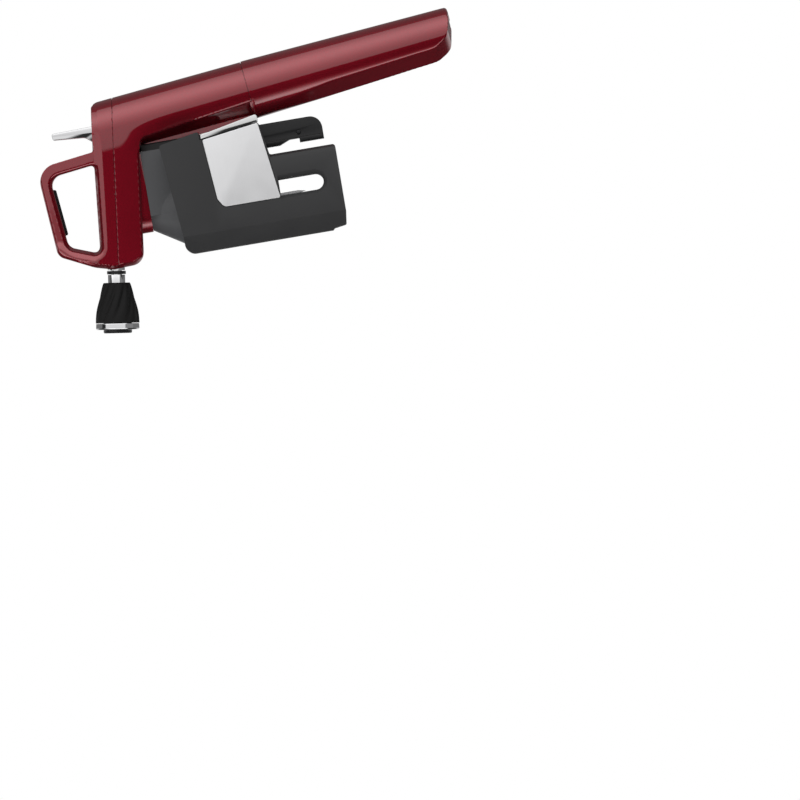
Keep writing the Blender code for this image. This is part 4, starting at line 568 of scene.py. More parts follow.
def radius_at(front):
    """The head's radius at a place in front of the column's seam; behind it is negative."""
    return HEAD_RADIUS + front / TUBE_LONG * (HEAD_RADIUS - TUBE_RADIUS)


# %% [markdown]
# ## The lines that the head's side follows
#
# The side gets its character from the rims of the column and the loop's hole, from the
# line that frames the loop with a chamfer, and from the crease above the keel. The rims
# and the frame's line become trees of close points, because a tree answers quickly how
# far any point lies from them.

# %% Lines that shape the head's side
KEEL_DEPTH = 11.0 * MM
KEEL_RISE = 1.2 * MM
CREASE_DEPTH = 8.5 * MM
CREASE_RISE = 3.5 * MM
KEEL_WIDE = 14.875 * MM
FILLET = 3.6 * MM
FRAME_LINE = [(-0.186, 0.198), (-0.051, 0.184), (0.129, 0.157), (0.456, 0.147),
              (0.780, 0.137), (0.851, 0.142), (0.891, 0.172), (0.916, 0.220),
              (0.937, 0.295), (0.926, 0.404), (0.908, 0.549), (0.885, 0.638),
              (0.840, 0.745)]
FAR_END = -TUBE_LONG * math.cos(LEAN) - 3 * MM


def keel_drop(front):
    """Depth of the keel's middle line below the tube's axis."""
    return KEEL_DEPTH - KEEL_RISE * front / TUBE_LONG


def crease_drop(front):
    """Depth of the crease, where the keel's underside meets the head's side."""
    return CREASE_DEPTH + CREASE_RISE * front / TUBE_LONG


def column_outline():
    """Outline of all that hangs below the tube's axis, the finger loop with it."""
    outer = [(*below_tube(FAR_END, 0), 0), (*below_tube(FACE_REACH, 0), 0)]
    outer += [spot(*share) for share in LOOP_OUTER]
    outer += [(DROP * LOW_BACK[0], -COLUMN_BACK, LOOP_REACH * LOW_BACK[1])]
    outer += [(*below_tube(-COLUMN_BACK, keel_drop(-COLUMN_BACK)), FILLET)]
    return outer + [(*below_tube(FAR_END, keel_drop(FAR_END)), 0)]


def hole_outline():
    """Outline of the opening for two fingers."""
    return [spot(*share) for share in LOOP_INNER]


def line_of(corners):
    """Ordered points of a rounded outline."""
    work = outline(corners, 0, RIM_STEPS)
    work.faces.ensure_lookup_table()
    points = [vert.co.copy() for vert in work.faces[0].verts]
    work.free()
    return points


def nearness(points, closed=True, step=0.06 * MM):
    """Tree of closely spaced places along a line, to measure distances from it."""
    spots = []
    for first, second in zip(points, points[1:] + (points[:1] if closed else [])):
        count = max(1, int((second - first).length / step))
        spots += [first.lerp(second, share / count) for share in range(count)]
    tree = KDTree(len(spots))
    for index, place in enumerate(spots):
        tree.insert(place, index)
    tree.balance()
    return tree


RIM = nearness(line_of(column_outline()))
HOLE = nearness(line_of(hole_outline()))
frame_points = [Vector((DROP * down, LOOP_REACH * front, 0)) for down, front in FRAME_LINE]
FRAME_EDGE = nearness(frame_points, False)
print("points along the rims:", len(line_of(column_outline())), len(line_of(hole_outline())))

# %% [markdown]
# ## The head's raw body
#
# The cone is cut to the nose's line and rounded there, and the slab tapers with the tube.
# A boolean union would leave long thin triangles where they meet. A voxel remesh melts
# them into one skin of small even squares, which the next step can carry anywhere.

# %% The head's raw body
NOSE_EDGE = 1.4 * MM
BEYOND = 3 * MM  # what the cone runs past the seam, to be cut off later
CONE_SIDES = 144
HEAD_VOXEL = 0.42 * MM


def raw_cone():
    """The tube and its nose, as a cone cut to the nose's line."""
    length = TUBE_LONG + LOOP_REACH / 2
    nose_radius = TUBE_RADIUS + (HEAD_RADIUS - TUBE_RADIUS) * length / TUBE_LONG
    end_radius = TUBE_RADIUS - (HEAD_RADIUS - TUBE_RADIUS) * BEYOND / TUBE_LONG
    work = bmesh.new()
    bmesh.ops.create_cone(work, cap_ends=True, segments=CONE_SIDES, radius1=nose_radius,
                          radius2=end_radius, depth=length + BEYOND,
                          matrix=Matrix.Translation((0, 0, (BEYOND - length) / 2)))
    cone = new_piece("head", work, TUBE_AXIS)
    far, above, half = 3 * LOOP_REACH, 24 * MM, 20 * MM
    corners = [(*below_tube(-far, -above), 0)]
    corners += [(HEAD_RADIUS * high, FACE_REACH * out, 0) for high, out in NOSE_LINE]
    corners += [(DROP / 4, FACE_REACH, 0), (DROP / 4, -far, 0)]
    combined(cone, [slab("nose_line", corners, -half, half, COLUMN_SIDE)], 'INTERSECT')
    return bevelled(cone, NOSE_EDGE, 4, 48)


def raw_column():
    """All that hangs below the tube's axis, as a tapered slab with the loop's hole."""
    half = HEAD_RADIUS
    side = slab("column", column_outline(), -half, half, WORLD, RIM_STEPS)

    def taper(work):
        for vert in work.verts:
            vert.co.z *= radius_at(vert.co.y) / half

    worked(side, taper)
    side.data.transform(COLUMN_SIDE)
    hole = slab("loop_hole", hole_outline(), -half * 2, half * 2, COLUMN_SIDE, RIM_STEPS)
    return combined(side, [hole], 'DIFFERENCE')


both = bmesh.new()
for part in (raw_cone(), raw_column()):
    both.from_mesh(part.data)
    bpy.data.objects.remove(part, do_unlink=True)
head = melted(new_piece("head", both), HEAD_VOXEL, 2)
print("head's skin, faces:", len(head.data.polygons))

# %% [markdown]
# ## The head's true surface
#
# The skin is carried, point by point, to the half width that the head has at each place of
# its side view. The width starts as the tube's radius, curves in towards the cup, leans in
# down the column as a mould needs, and loses a chamfer at each rim. Carving these as flat
# cuts would leave edges where the real moulding has none.

# %% Widths of the head's side
STEEPEST = math.radians(17)  # where the tube's curve goes over into a straight slope
SLOW_START = 11 * MM
SLOW_WIDTH = 6 * MM
SLOW_END = 17 * MM
CURVE_RISE = (2 * MM, 32 * MM)  # a rise has a start and a width, here behind the seam
DRAFT = math.tan(math.radians(4.3))
DRAFT_START = 12 * MM
DRAFT_FADE = (14 * MM, 20 * MM)
LOOP_RISE = (8 * MM, 6 * MM)
LOOP_LEAN = math.tan(math.radians(6))
LIMB_THIN = 0.35 * MM  # what the loop's limb is thinner by, at its top and more below
LIMB_MORE = 2.3 * MM
LIMB_RISE = (20 * MM, 45 * MM)
FRAME_WIDE = 3.4 * MM
FRAME_DEEP = 1.6 * MM
FRAME_SOFT = 0.10
THINNEST = 0.15 * MM


def eased(share):
    """Smooth step from 0 to 1."""
    share = min(max(share, 0.0), 1.0)
    return share * share * (3 - 2 * share)


def rise(value, start, width):
    """Smooth step from 0 to 1 over a width that begins at a start."""
    return eased((value - start) / width)


def mixed(first, second, share):
    """Number between two numbers."""
    return first * (1 - share) + second * share


def soft_rise(value, rounding):
    """The larger of a value and zero, rounded where it starts to rise."""
    if value >= rounding:
        return value
    return max(value + rounding, 0) ** 2 / (4 * rounding)


def past_frame(down, front):
    """How far a place lies in front of the line that frames the loop; behind is negative."""
    distance = FRAME_EDGE.find((down, front, 0))[2]
    behind = front < frame_points[0].y
    for first, second in zip(frame_points, frame_points[1:]):
        if first.x <= down < second.x:
            across = first.y + (second.y - first.y) * (down - first.x) / (second.x - first.x)
            behind = front < across
    if down >= max(point.x for point in frame_points):
        behind = True
    return -distance if behind else distance


def frame_step(down, front):
    """What the chamfer round the loop takes off the half width."""
    if front <= 0:
        return 0
    step = past_frame(down, front) / FRAME_WIDE
    return FRAME_DEEP * (soft_rise(step, FRAME_SOFT) - soft_rise(step - 1, FRAME_SOFT))


def tube_curve(drop, radius):
    """How far the tube's round side has turned in, at a drop below its axis."""
    past = min(max(drop - SLOW_START, 0.0), SLOW_WIDTH)
    slowed = min(drop, SLOW_END) - past * past / (2 * SLOW_WIDTH)
    share = max(slowed / radius, 0.0)
    turn = min(share, math.sin(STEEPEST))
    return radius * (1 - math.sqrt(1 - turn * turn) + (share - turn) * math.tan(STEEPEST))


def draft_at(low, front):
    """How far the mould's draft has leaned the column's side in."""
    leant = low - DRAFT_START / 2 if low > DRAFT_START else low * low / (2 * DRAFT_START)
    return DRAFT * leant * (1 - rise(-front, *DRAFT_FADE))


def side_width(down, front):
    """Half width of the head's side below the tube's axis, at a place in side view."""
    drop = drop_at(down, front)
    low = max(drop, 0)
    radius = radius_at(front)
    limb = LIMB_THIN + LIMB_MORE * rise(low, *LIMB_RISE)
    out = rise(front, *LOOP_RISE)
    width = radius - draft_at(low, front) * (1 - out) - limb * out
    width -= max(front - LOOP_RISE[0], 0) * LOOP_LEAN
    curve = tube_curve(drop, radius) * rise(-front, *CURVE_RISE)
    return width - curve - frame_step(down, front)


print("half width half way down, mm:", round(side_width(DROP / 2, 0) / MM, 3))

# %% [markdown]
# ## Rims and keel
#
# Each rim has a chamfer, wider at the column's foot than along its sides. Under the tube,
# two facets meet in a keel, and a crease parts them from the side. All three only take
# width away, so they can be worked out one by one and then subtracted.

# %% Chamfers of the rims, and the keel
RIM_WIDE = (0.8, 1.7, 0.9)  # mm, on the column's sides, at its foot and on the loop
RIM_STEEP = (1.2, 3.0, 1.6)
RIM_SOFT = 0.2 * MM
HOLE_WIDE = 1.8 * MM
HOLE_STEEP = 1.9
HOLE_SOFT = 0.25 * MM
RIM_LOOP = (9 * MM, 6 * MM)
RIM_FOOT = (0.90, 0.05)
RIM_FADE = (13 * MM, 4 * MM)
KEEL_SOFT = 0.45 * MM
KEEL_FREE = 10 * MM  # the keel lets go of the width by this much at the column's back,
KEEL_END = 0.9 * MM  # and over this distance
SIDE_SHARE = (0.93, 0.05)  # shares of the radius from which a point belongs to the side
TOP_SHARE = (0.95, 0.03)


def rim_cut(down, front):
    """What the rims' chamfers take off the half width."""
    drop = drop_at(down, front)
    if drop < 1 * MM or front < -COLUMN_BACK:
        return 0
    loop = rise(front, *RIM_LOOP)
    low = rise(down / DROP, *RIM_FOOT)
    wide = mixed(mixed(RIM_WIDE[0], RIM_WIDE[1], low), RIM_WIDE[2], loop)
    steep = mixed(mixed(RIM_STEEP[0], RIM_STEEP[1], low), RIM_STEEP[2], loop)
    cut = steep * soft_rise(wide * MM - RIM.find((down, front, 0))[2], RIM_SOFT)
    cut += HOLE_STEEP * soft_rise(HOLE_WIDE - HOLE.find((down, front, 0))[2], HOLE_SOFT)
    return cut * rise(drop, *RIM_FADE)


def keel_width(down, front):
    """Half width that the keel's underside leaves below the crease."""
    if front >= -COLUMN_BACK:
        return 2 * HEAD_RADIUS
    drop = drop_at(down, front)
    inward = FILLET - min(-COLUMN_BACK - front, FILLET)
    corner = FILLET - math.sqrt(FILLET ** 2 - inward ** 2)
    deep = keel_drop(front)
    width = KEEL_WIDE * (deep + corner - drop) / (deep - crease_drop(front))
    freed = KEEL_FREE * eased(1 - (-COLUMN_BACK - front) / KEEL_END)
    return max(width, THINNEST) + freed


def ease(work):
    """Carry each point of the skin to the head's true surface."""
    into = COLUMN_SIDE.inverted()
    along = TUBE_AXIS.inverted()
    for vert in work.verts:
        down, front = (into @ vert.co)[:2]
        radius = radius_at(front)
        if drop_at(down, front) > 0:
            share = abs(vert.co.y) / radius
            share = min(share + (1 - share) * rise(share, *SIDE_SHARE), 1)
            width = side_width(down, front) - rim_cut(down, front)
            width -= soft_rise(width - keel_width(down, front), KEEL_SOFT)
            vert.co.y = math.copysign(share * max(width, THINNEST), vert.co.y)
        else:
            here = along @ vert.co
            share = math.hypot(here.x, here.y) / radius
            if share > TOP_SHARE[0]:
                push = 1 + (1 / share - 1) * rise(share, *TOP_SHARE)
                vert.co = TUBE_AXIS @ Vector((here.x * push, here.y * push, here.z))
            vert.co.y *= 1 - frame_step(down, front) / radius


def settle_rims(work):
    """Even out the narrow chamfers along the rims."""
    into = COLUMN_SIDE.inverted()
    near = [vert for vert in work.verts if rim_cut(*(into @ vert.co)[:2]) > 0.02 * MM]
    for turn in range(3):
        bmesh.ops.smooth_vert(work, verts=near, factor=0.5, use_axis_x=True, use_axis_y=True,
                              use_axis_z=True)


worked(head, ease)
worked(head, settle_rims)
print("head's widest half, mm:", round(max(v.co.y for v in head.data.vertices) / MM, 3))

# %% [markdown]
# ## Two mouldings from one head
#
# The head is copied and cut twice on the seam, once for the housing behind it and once for
# the cover in front. A fine gap stays between them, and each rim is eased back a little,
# so that the seam catches a line of light. The housing also ends at the cup's seam.

# %% Part the head on its seams
SEAM_GAP = 0.14 * MM
SEAM_EDGE = (0.16 * MM, 0.34 * MM)  # inward on the cut, and back along its normal
CUP_EDGE = (0.10 * MM, 0.08 * MM)
LEDGE_WIDE = 0.5 * MM
LEDGE_SHARE = 1.6  # height of the ledge that closes the seam, in half gaps


def chamfered_cut(work, place, normal, edge):
    """Cut on a plane, close the cut and chamfer its rim."""
    inward, back = edge
    rim, caps = cut_flat(work, place, normal)
    bmesh.ops.inset_region(work, faces=caps, thickness=inward, use_even_offset=True)
    for vert in {vert for line in rim if line.is_valid for vert in line.verts}:
        vert.co += normal * back
    return caps


def parted(name, keep_front):
    """One moulding of the head, cut on the seam, its rim eased back a little."""
    piece = bpy.data.objects.new(name, head.data.copy())
    bpy.context.scene.collection.objects.link(piece)

    def part(work):
        normal = FRONT_DIR if keep_front else -FRONT_DIR
        gap = SEAM_GAP / 2
        caps = chamfered_cut(work, HEAD_CENTRE + normal * gap, normal, SEAM_EDGE)
        if not keep_front:
            stepped(work, caps, LEDGE_WIDE, -normal * gap * LEDGE_SHARE)
            chamfered_cut(work, SEAM - TUBE_DIR * gap, -TUBE_DIR, CUP_EDGE)

    return worked(piece, part)


housing = parted("housing_shell", False)
cover = parted("cover_shell", True)
bpy.data.objects.remove(head, do_unlink=True)
print("faces of housing and cover:", len(housing.data.polygons), len(cover.data.polygons))

# %% [markdown]
# ## Bores and windows of the two mouldings
#
# The real mouldings are hollow where a piece runs or sits in them, and the dressed ones
# are too, so that nothing shows through a wall when a joint moves. Rods and blocks cut
# them, a little wider than what they hold. A foot behind the column rests on the clamp's
# core, and a tongue at the cup's seam keeps light from passing there.

# %% Foot, tongue and bores of the housing
FOOT = [(-7.7, -8.7, 8.5), (-7.7, 8.7, 8.5), (32.3, 8.7, 2.2), (32.3, -8.7, 2.2)]
FOOT_END = 32.3 * MM
FOOT_LONG = 40 * MM
FOOT_TOP = 30.6 * MM
FOOT_WIDENS, FOOT_NARROWS = 1.08, 0.30
CORE_GAP = 0.05 * MM
# Each rod and each bore has its radius, its start and its end on its axis, in mm.
SPIGOT = (11.0, -8, 8)
TUBE_BORES = [("chamber", 9.9, -50, 9), ("spring_bore", 3.4, -75, -56),
              ("stem_bore", 1.8, -60, -45)]
SPOUT_SOCKET = (4.5, -9, 6)
HUB_SOCKET = (2.7, 13, 26.9)


def hoop(name, inner, outer, low, high):
    """Ring about the tube's axis, between two radii and two heights."""
    profile = [(inner, low), (outer, low), (outer, high), (inner, high)]
    return turned(name, profile, TUBE_AXIS, 128, True)


def draft_foot(work):
    """Lean the foot's sides in towards its low end, as a mould needs."""
    for vert in work.verts:
        vert.co.y *= FOOT_WIDENS - FOOT_NARROWS * (FOOT_END - vert.co.x) / FOOT_LONG


core_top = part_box("clamp_core")[1][2]
foot = slab("foot", [mm(*corner) for corner in FOOT], core_top + CORE_GAP, FOOT_TOP)
worked(foot, draft_foot)
combined(housing, [foot, rod("spigot", *mm(*SPIGOT), TUBE_AXIS),
                   hoop("tongue", *mm(13.2, 13.8, -0.8, 0.8))], 'UNION')
bores = [rod(name, *mm(*sizes), TUBE_AXIS) for name, *sizes in TUBE_BORES]
bores += [rod("spout_socket", *mm(*SPOUT_SOCKET), SPOUT_AXIS),
          rod("hub_socket", *mm(*HUB_SOCKET)),
          block("trigger_rest", mm(-5.2, -0.4, -5.3), mm(8.5, 1, 5.3), COLUMN_SIDE)]
combined(housing, bores, 'DIFFERENCE')
finished(housing, BURGUNDY, "burgundy_paint", "head", "main_housing", angle=40)
print("core's top, mm:", round(core_top / MM, 3))

# %% [markdown]
# ## Windows of the cover
#
# The trigger swings in a room that opens to the front, and its pin crosses that room. The
# finger pad lies in a shallow recess of the loop's front limb, whose slant follows from
# two corners of the loop's hole.

# %% Cover
PIVOT = HEAD_CENTRE - 2.6 * MM * DOWN_DIR + 4.8 * MM * FRONT_DIR  # middle of the pin


def pad_place():
    """Frame of the finger pad, on the inner face of the loop's front limb."""
    upper = Vector(spot(*LOOP_INNER[1])[:2])
    lower = Vector(spot(*LOOP_INNER[2])[:2])
    run = lower - upper
    return COLUMN_SIDE @ Matrix.Translation((*((upper + lower) / 2), 0)) @ Matrix.Rotation(
        math.atan2(run.y, run.x), 4, 'Z')


combined(cover, [
    block("trigger_room", mm(-5.2, -6, -5.3), mm(8.5, 8, 5.3), COLUMN_SIDE),
    block("trigger_window", mm(-2.6, 0, -5.3), mm(8.5, 16, 5.3), COLUMN_SIDE),
    rod("pin_hole", *mm(1.3, -8.3, 8.3), frame_of(PIVOT, DOWN_DIR, FRONT_DIR)),
    rod("spout_socket", *mm(*SPOUT_SOCKET), SPOUT_AXIS),
    block("pad_recess", mm(-11.8, -7, -5.3), mm(11.8, 0.8, 5.3), pad_place())], 'DIFFERENCE')
finished(cover, BURGUNDY, "burgundy_paint", "head", "front_cover", angle=40)

# %% [markdown]
# ## The capsule cup
#
# The cup is a tapered tube with two flats on its underside, where fingers take hold to
# unscrew it, and the flats round off towards the heel. A smooth curve through a few places
# gives the flats' depth. The same curve cuts the flats and tells later where the surface is.

# %% Lines of the cup
CUP_RADIUS = 14.6 * MM
CUP_END = 12.5 * MM
CUP_LONG = 105 * MM
CUP_CORNER = 1.6 * MM
TAPER = (CUP_RADIUS - CUP_END) / CUP_LONG
CREASE = 0.5 * MM
GRIP_LEAN = math.radians(30)
GRIP_START = [(0, 0.60), (10, 0.10), (24, -0.75), (40, -1.65)]  # mm along, mm past the side
HEEL = [(0.800, 0.871), (0.886, 0.850), (0.919, 0.773), (0.953, 0.638), (0.972, 0.475),
        (0.988, 0.110), (0.995, -0.090), (0.999, -0.390), (1.050, -0.500)]
GRIP = curved([(along * MM, CUP_RADIUS - along * MM * TAPER + out * MM)
               for along, out in GRIP_START])
GRIP += curved([(CUP_LONG * along, CUP_END * out) for along, out in HEEL])


def grip_depth(height):
    """Distance of the grip flats from the cup's axis, at a height on it."""
    for first, second in zip(GRIP, GRIP[1:]):
        if height <= second[0]:
            share = (height - first[0]) / (second[0] - first[0])
            return first[1] + (second[1] - first[1]) * share
    return GRIP[-1][1]


def cup_surface(x, y, z):
    """Distance outside the cup's side, with its creases rounded; negative inside."""
    round_side = math.hypot(x, y) - (CUP_RADIUS - TAPER * z)
    flat = x * math.cos(GRIP_LEAN) + abs(y) * math.sin(GRIP_LEAN) - grip_depth(z)
    apart = max(CREASE - abs(round_side - flat), 0)
    return max(round_side, flat) + apart * apart / (4 * CREASE)


print("grip's depth half way, mm:", round(grip_depth(CUP_LONG / 2) / MM, 3))

# %% [markdown]
# ## The cup's skin
#
# Turning and cutting gives the cup's form, but the creases come out as knife edges, and
# long triangles shade in stripes. So the turned cup is melted into an even skin, and each
# point of its side is settled on the true surface, where the creases are rounded.

# %% Cup
CUP_VOXEL = 0.40 * MM
SETTLED = (1.2 * MM, CUP_LONG - 2.4 * MM)  # the part of the cup whose side is settled
NEAR = 0.4 * MM  # points further off belong to the ends
LIP_EDGE = 0.14 * MM
LIP_START, LIP_HIGH = 0.28, 0.10  # mm along the tube


def settle_cup(work):
    """Carry the skin of the cup's side to its true surface."""
    into = TUBE_AXIS.inverted()
    reach = 0.02 * MM
    for vert in work.verts:
        here = into @ vert.co
        if not SETTLED[0] < here.z < SETTLED[1]:
            continue
        for turn in range(3):
            away = cup_surface(*here)
            if abs(away) > NEAR:
                break
            steps = [Vector((reach, 0, 0)), Vector((0, reach, 0)), Vector((0, 0, reach))]
            slope = Vector([(cup_surface(*(here + step)) - away) / reach for step in steps])
            here -= slope * (away / max(slope.length_squared, 0.2))
        vert.co = TUBE_AXIS @ here


def raw_cup():
    """Turned cup with its two grip flats."""
    corner = CUP_CORNER
    profile = [(0, CUP_LONG), (CUP_END - corner, CUP_LONG)]
    for step in range(1, 9):
        angle = math.pi / 2 * step / 8
        profile.append((CUP_END - corner + corner * math.sin(angle),
                        CUP_LONG - corner + corner * math.cos(angle)))
    profile += [(CUP_RADIUS, -2 * MM), (0, -2 * MM)]
    made = turned("cup_shell", profile, TUBE_AXIS, 160)
    flats = []
    for side in (-1, 1):
        flat = [(along, -out, 0) for along, out in GRIP]
        flat += [(CUP_LONG + 6 * MM, -CUP_RADIUS - 6 * MM, 0), (0, -CUP_RADIUS - 6 * MM, 0)]
        lean = Matrix.Rotation(side * GRIP_LEAN, 4, 'X')
        flats.append(slab("grip", flat, -CUP_RADIUS, CUP_RADIUS, TUBE_SIDE @ lean))
    return combined(made, flats, 'DIFFERENCE')


def lip(work):
    """Cut the cup at its seam, with a fine step round the lip."""
    caps = cut_flat(work, SEAM + TUBE_DIR * LIP_START * MM, TUBE_DIR)[1]
    stepped(work, caps, LIP_EDGE, -TUBE_DIR * LIP_HIGH * MM)


cup = worked(melted(raw_cup(), CUP_VOXEL, 3), settle_cup)
worked(cup, lip)
combined(cup, [rod("mouth", *mm(11.3, -6, 8.6), TUBE_AXIS),
               hoop("groove", *mm(13.0, 13.95, -1, 1)),
               rod("bore", *mm(9.9, -6, 67.8), TUBE_AXIS)], 'DIFFERENCE')
finished(cup, BURGUNDY, "burgundy_paint", "cup", "capsule_cup", angle=25)

# %% [markdown]
# ## The aerator's body
#
# The body is black rubber with slanting flutes that fade at both ends. It is built from
# rings of points, each turned a little further than the last, and bridged. Cutting each
# flute with a tool of its own would leave a seam at every cut.

# %% Fluted body
FLARE = [(0.00, -0.10), (0.03, 0.02), (0.18, 0.24), (0.43, 0.56), (0.67, 0.84), (0.85, 0.96),
         (1.00, 1.00)]
BODY_START = 6.9 * MM
BODY_LONG = 19.8 * MM
BODY_SIDES = 240
FLUTES = 10
FLUTE_DEEP = 0.95 * MM
TWIST = math.radians(46)


def make_body():
    """Flared rubber body with slanting flutes and its chamber."""
    work = bmesh.new()
    loops = []
    for down, out in curved(FLARE):
        radius = (6.7 + 4.1 * out) * MM
        depth = FLUTE_DEEP * max(math.sin(math.pi * down), 0) ** 0.8
        ring = []
        for step in range(BODY_SIDES):
            angle = math.tau * step / BODY_SIDES
            reach = radius - depth * ((1 - math.cos(FLUTES * angle)) / 2) ** 2
            turn = angle + TWIST * down
            ring.append(work.verts.new((reach * math.cos(turn), reach * math.sin(turn),
                                        BODY_START + BODY_LONG * down)))
        loops.append([work.edges.new((one, other))
                      for one, other in zip(ring, ring[1:] + ring[:1])])
    for upper, lower in zip(loops, loops[1:]):
        bmesh.ops.bridge_loops(work, edges=upper + lower)
    bmesh.ops.holes_fill(work, edges=loops[0] + loops[-1], sides=0)
    made = new_piece("aerator_body_dressed", work, SPOUT_AXIS)
    end = BODY_START + BODY_LONG
    wide, narrow = 8.6 * MM, 4.55 * MM
    inside = [(0, end + 1 * MM), (wide, end + 1 * MM), (wide, end - 5.5 * MM),
              (narrow, end - 11 * MM), (narrow, BODY_START - 1 * MM), (0, BODY_START - 1 * MM)]
    combined(made, [turned("aerator_inside", inside, SPOUT_AXIS)], 'DIFFERENCE')
    return bevelled(made, 0.12 * MM, 2, 50)


finished(make_body(), RUBBER, "black_rubber", "aerator", "aerator_body", angle=40)

# %% [markdown]
# ## The aerator's ring
#
# The chrome ring closes the body. It is turned from a profile whose side leans by a hair
# and whose foot is round, because a mirror with flat faces would show one tone on each.

# %% Chrome ring
RING_START = 27.0  # mm down the spout's axis


def make_ring():
    """Chrome ring, almost upright at its side and rounded to its foot."""
    band = [(10.62 + 0.10 * step / 8, 0.25 + 2.05 * step / 8) for step in range(9)]
    foot = curved([(10.72, 2.35), (10.50, 2.74), (10.10, 2.98), (9.40, 3.10)], 4)
    profile = [(7.3, 3.1), (7.3, 0), (10.5, 0), (10.58, 0.08)] + band + foot
    return turned("aerator_ring_dressed", [mm(radius, RING_START + low)
                                           for radius, low in profile], SPOUT_AXIS, 160, True)


finished(make_ring(), CHROME, "chrome", "aerator", "aerator_ring", angle=40)

# %% [markdown]
# ## Pieces that keep their solid's shape
#
# The clamp's pieces are already right in the frame. A copy of each one's mesh is merged,
# its edges are rounded as a mould or a press leaves them, and it takes its finish. The
# pin that stops the rail is quicker to draw anew than to round.

# %% Dressed copies
PIN_CENTRE = Vector((28.752, 0, -59.0)) * MM
PIN_FRAME = frame_of(PIN_CENTRE, Vector((0, 0, 1)), Vector((1, 0, 0)))
DRESSED = [  # node, finish, slot, body, edge in mm, segments of the edge
    ("clamp_core", CORE_GREY, "mid_grey_plastic", "clamp", 0.35, 3),
    ("rail_collar", ROOF_SILVER, "satin_silver", "clamp", 0.25, 3),
    ("jaw_near", JAW_GREY, "dark_grey_plastic", "jaw_near", 0.9, 4),
    ("jaw_far", JAW_GREY, "dark_grey_plastic", "jaw_far", 0.9, 4),
    ("jaw_plate_near", SILVER, "satin_silver", "jaw_near", 0.25, 3),
    ("jaw_plate_far", SILVER, "satin_silver", "jaw_far", 0.25, 3),
    ("jaw_pad_near", RUBBER, "black_rubber", "jaw_near", 0.2, 2),
    ("jaw_pad_far", RUBBER, "black_rubber", "jaw_far", 0.2, 2),
    ("guide_rail", BLACK, "black_plastic", "head", 0.3, 3),
    ("loop_pad", RUBBER, "black_rubber", "head", 0.15, 2),
    ("trigger", CHROME, "chrome", "trigger", 0.3, 3),
    ("aerator_collar", BLACK, "black_plastic", "aerator", 0.15, 2),
    ("aerator_tube", CHROME, "chrome", "aerator", 0.1, 2),
    ("aerator_screen", BLACK, "black_plastic", "aerator", 0.1, 2),
]

stop_pin = bevelled(rod("stop_pin_dressed", *mm(1.17, -5, 5), PIN_FRAME, 48), 0.3 * MM, 3, 40)
finished(stop_pin, BLACK_STEEL, "steel", "head", "rail_stop_pin")
for node, finish, slot, body, width, segments in DRESSED:
    copy = bevelled(merged_copy(node, node + "_dressed"), width * MM, segments, 32)
    finished(copy, finish, slot, body, node, angle=40)

# %% [markdown]
# ## Finishes of the nodes that stay
#
# The pieces inside the head and the clamp show when a joint moves, or in an opened view.
# They keep their solid's mesh as it is and only take the finish that their slot names.

# %% Nodes that stay
KEPT = {
    "black_rubber": RUBBER, "white_plastic": WHITE, "steel": STEEL, "chrome": CHROME,
    "brass": BRASS, "black_plastic": BLACK, "satin_silver": SILVER,
    "burgundy_paint": BURGUNDY, "dark_grey_plastic": JAW_GREY, "mid_grey_plastic": CORE_GREY}
slots = {part["node"]: part["material_slot"] for part in frame["record"]["subparts"]}
for node, shown in frame["nodes"].items():
    for place in shown.material_slots:
        place.material = KEPT[slots[node]]
print("slots in use:", sorted(set(slots.values())))

# %% [markdown]
# ## Light and backdrop
#
# The tube is nearly a mirror, so the bands along it tell where the photographer's lights
# hung: a tall softbox from level with the camera to straight above, a low strip that
# draws the crease, and darkness between them. Lamps could give these bands too, but each
# would light the backdrop as well. So the world holds them for mirror rays, is plain and
# even for soft light, and white to the camera and straight behind the object.

# %% Studio
LOW_EDGE = (-5.6, 1.2)  # heights and sides are in degrees, a middle and a width
TOP_EDGE = (91.5, 2.0)
LEFT_EDGE, RIGHT_EDGE = (-66, 6), (42, 6)
CARD_LOW, CARD_LEFT, CARD_RIGHT = (-34, 8), (-70, 6), (-10, 6)
UNDER_EDGE = (-150, 16)
RIGHTWARD = (44, 6)
BEHIND = (0.985, 0.02)  # as a cosine from straight behind the object
BELOW_EDGE = (-10, 60)
GLOW_HEIGHT, GLOW_SPREAD = 52, 32
STRIP_HEIGHT, STRIP_SPREAD = -60, 12
GLOW_LEAST, GLOW_MORE = 0.60, 0.90  # levels of light from here on
DARK, CARD, STRIP, ABOVE, UNDER, ASIDE = 0.025, 0.75, 1.9, 0.14, 0.6, 0.20
SOFT_LEAST, SOFT_BOX, SOFT_BELOW = 0.62, 0.55, 0.45


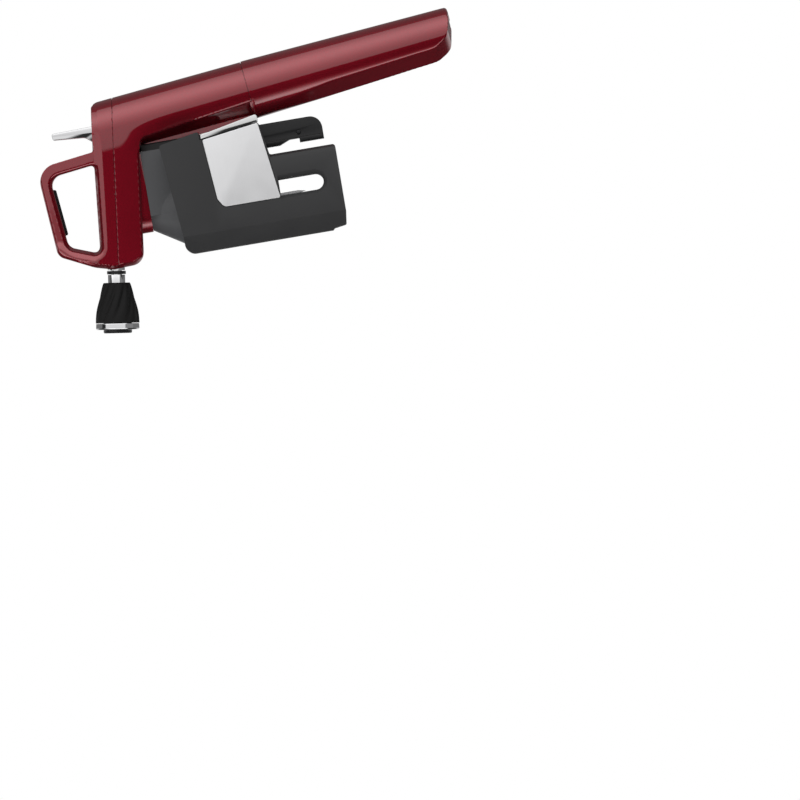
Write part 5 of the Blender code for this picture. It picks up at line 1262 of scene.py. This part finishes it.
def studio_world():
    """The studio as the lacquer shows it, by height and side as the camera sees them."""
    world = bpy.data.worlds.new("studio")
    bpy.context.scene.world = world
    world.use_nodes = True
    tree = world.node_tree
    shell = tree.nodes["Background"]
    path = tree.nodes.new("ShaderNodeLightPath")
    where = tree.nodes.new("ShaderNodeTexCoord")

    def towards(direction):
        """How far a ray points along a direction."""
        step = tree.nodes.new("ShaderNodeVectorMath")
        step.operation = 'DOT_PRODUCT'
        tree.links.new(where.outputs["Generated"], step.inputs[0])
        step.inputs[1].default_value = direction
        return Value(tree, step.outputs["Value"])

    def ramp(value, edge):
        """Straight rise from 0 to 1 across an edge."""
        middle, width = edge
        return ((value - (middle - width / 2)) / width).clipped()

    def bell(value, middle, spread):
        """Round hump about a middle."""
        return (((value - middle) / spread).maths('POWER', 2) * -1).maths('EXPONENT')

    degree = 180 / math.pi
    height = towards(VIEW_UP).maths('ARCTAN2', towards(VIEW_BACK)) * degree
    side = towards(VIEW_RIGHT).maths('ARCSINE') * degree
    glow = GLOW_LEAST + GLOW_MORE * bell(height, GLOW_HEIGHT, GLOW_SPREAD)
    span = ramp(side, LEFT_EDGE) * (1 - ramp(side, RIGHT_EDGE))
    low_edge = ramp(height, LOW_EDGE)
    above = ramp(height, TOP_EDGE)
    box = low_edge * (1 - above) * span
    card = ramp(height, CARD_LOW) * (1 - low_edge) * ramp(side, CARD_LEFT) * (
        1 - ramp(side, CARD_RIGHT))
    strip = bell(height, STRIP_HEIGHT, STRIP_SPREAD) * span
    under = 1 - ramp(height, UNDER_EDGE)
    rightward = ramp(side, RIGHTWARD) * low_edge * (1 - above)
    mirrored = DARK + box * glow + card * CARD + strip * STRIP + above * ABOVE + (
        under * UNDER) + rightward * ASIDE
    drop = ramp(towards(-VIEW_BACK), BEHIND)
    mirrored = mirrored * (1 - drop) + drop
    seen = Value(tree, path.outputs["Is Camera Ray"])
    mirror_ray = (Value(tree, path.outputs["Is Glossy Ray"]) + Value(
        tree, path.outputs["Is Transmission Ray"])).clipped()
    below = 1 - ramp(height, BELOW_EDGE)
    soft = SOFT_LEAST + box * glow * SOFT_BOX + below * (1 - above) * SOFT_BELOW
    strength = seen + (1 - seen) * (mirror_ray * mirrored + (1 - mirror_ray) * soft)
    tree.links.new(strength.socket, shell.inputs["Strength"])
    shell.inputs["Color"].default_value = (1, 1, 1, 1)
    print("nodes of the studio:", len(tree.nodes))


studio_world()
bpy.context.scene.view_settings.view_transform = 'Standard'

# %% [markdown]
# ## The floor
#
# A sheet of pale paper lies well under the object and takes its soft shadow. A plane
# would do, and a disc has no corners to show in a low view. It is left out of the mirror
# rays, because the lacquer shows a dark studio there.

# %% Floor
FLOOR_LEVEL = -0.340
FLOOR_RADIUS = 0.3
floor_work = bmesh.new()
bmesh.ops.create_circle(floor_work, cap_ends=True, segments=96, radius=FLOOR_RADIUS)
floor = new_piece("floor", floor_work, Matrix.Translation((0, 0, FLOOR_LEVEL)))
pale = Finish("floor_paper", (0.86, 0.86, 0.86), roughness=0.8)
pale.put("Base Color", pale.blend(pale.noise(40.0, 4.0), (0.85, 0.85, 0.85),
                                  (0.88, 0.88, 0.88)))
floor.data.materials.append(pale.material)
floor.visible_glossy = False

# %% [markdown]
# ## The end
#
# Dressing rounds the solids and never makes them longer.
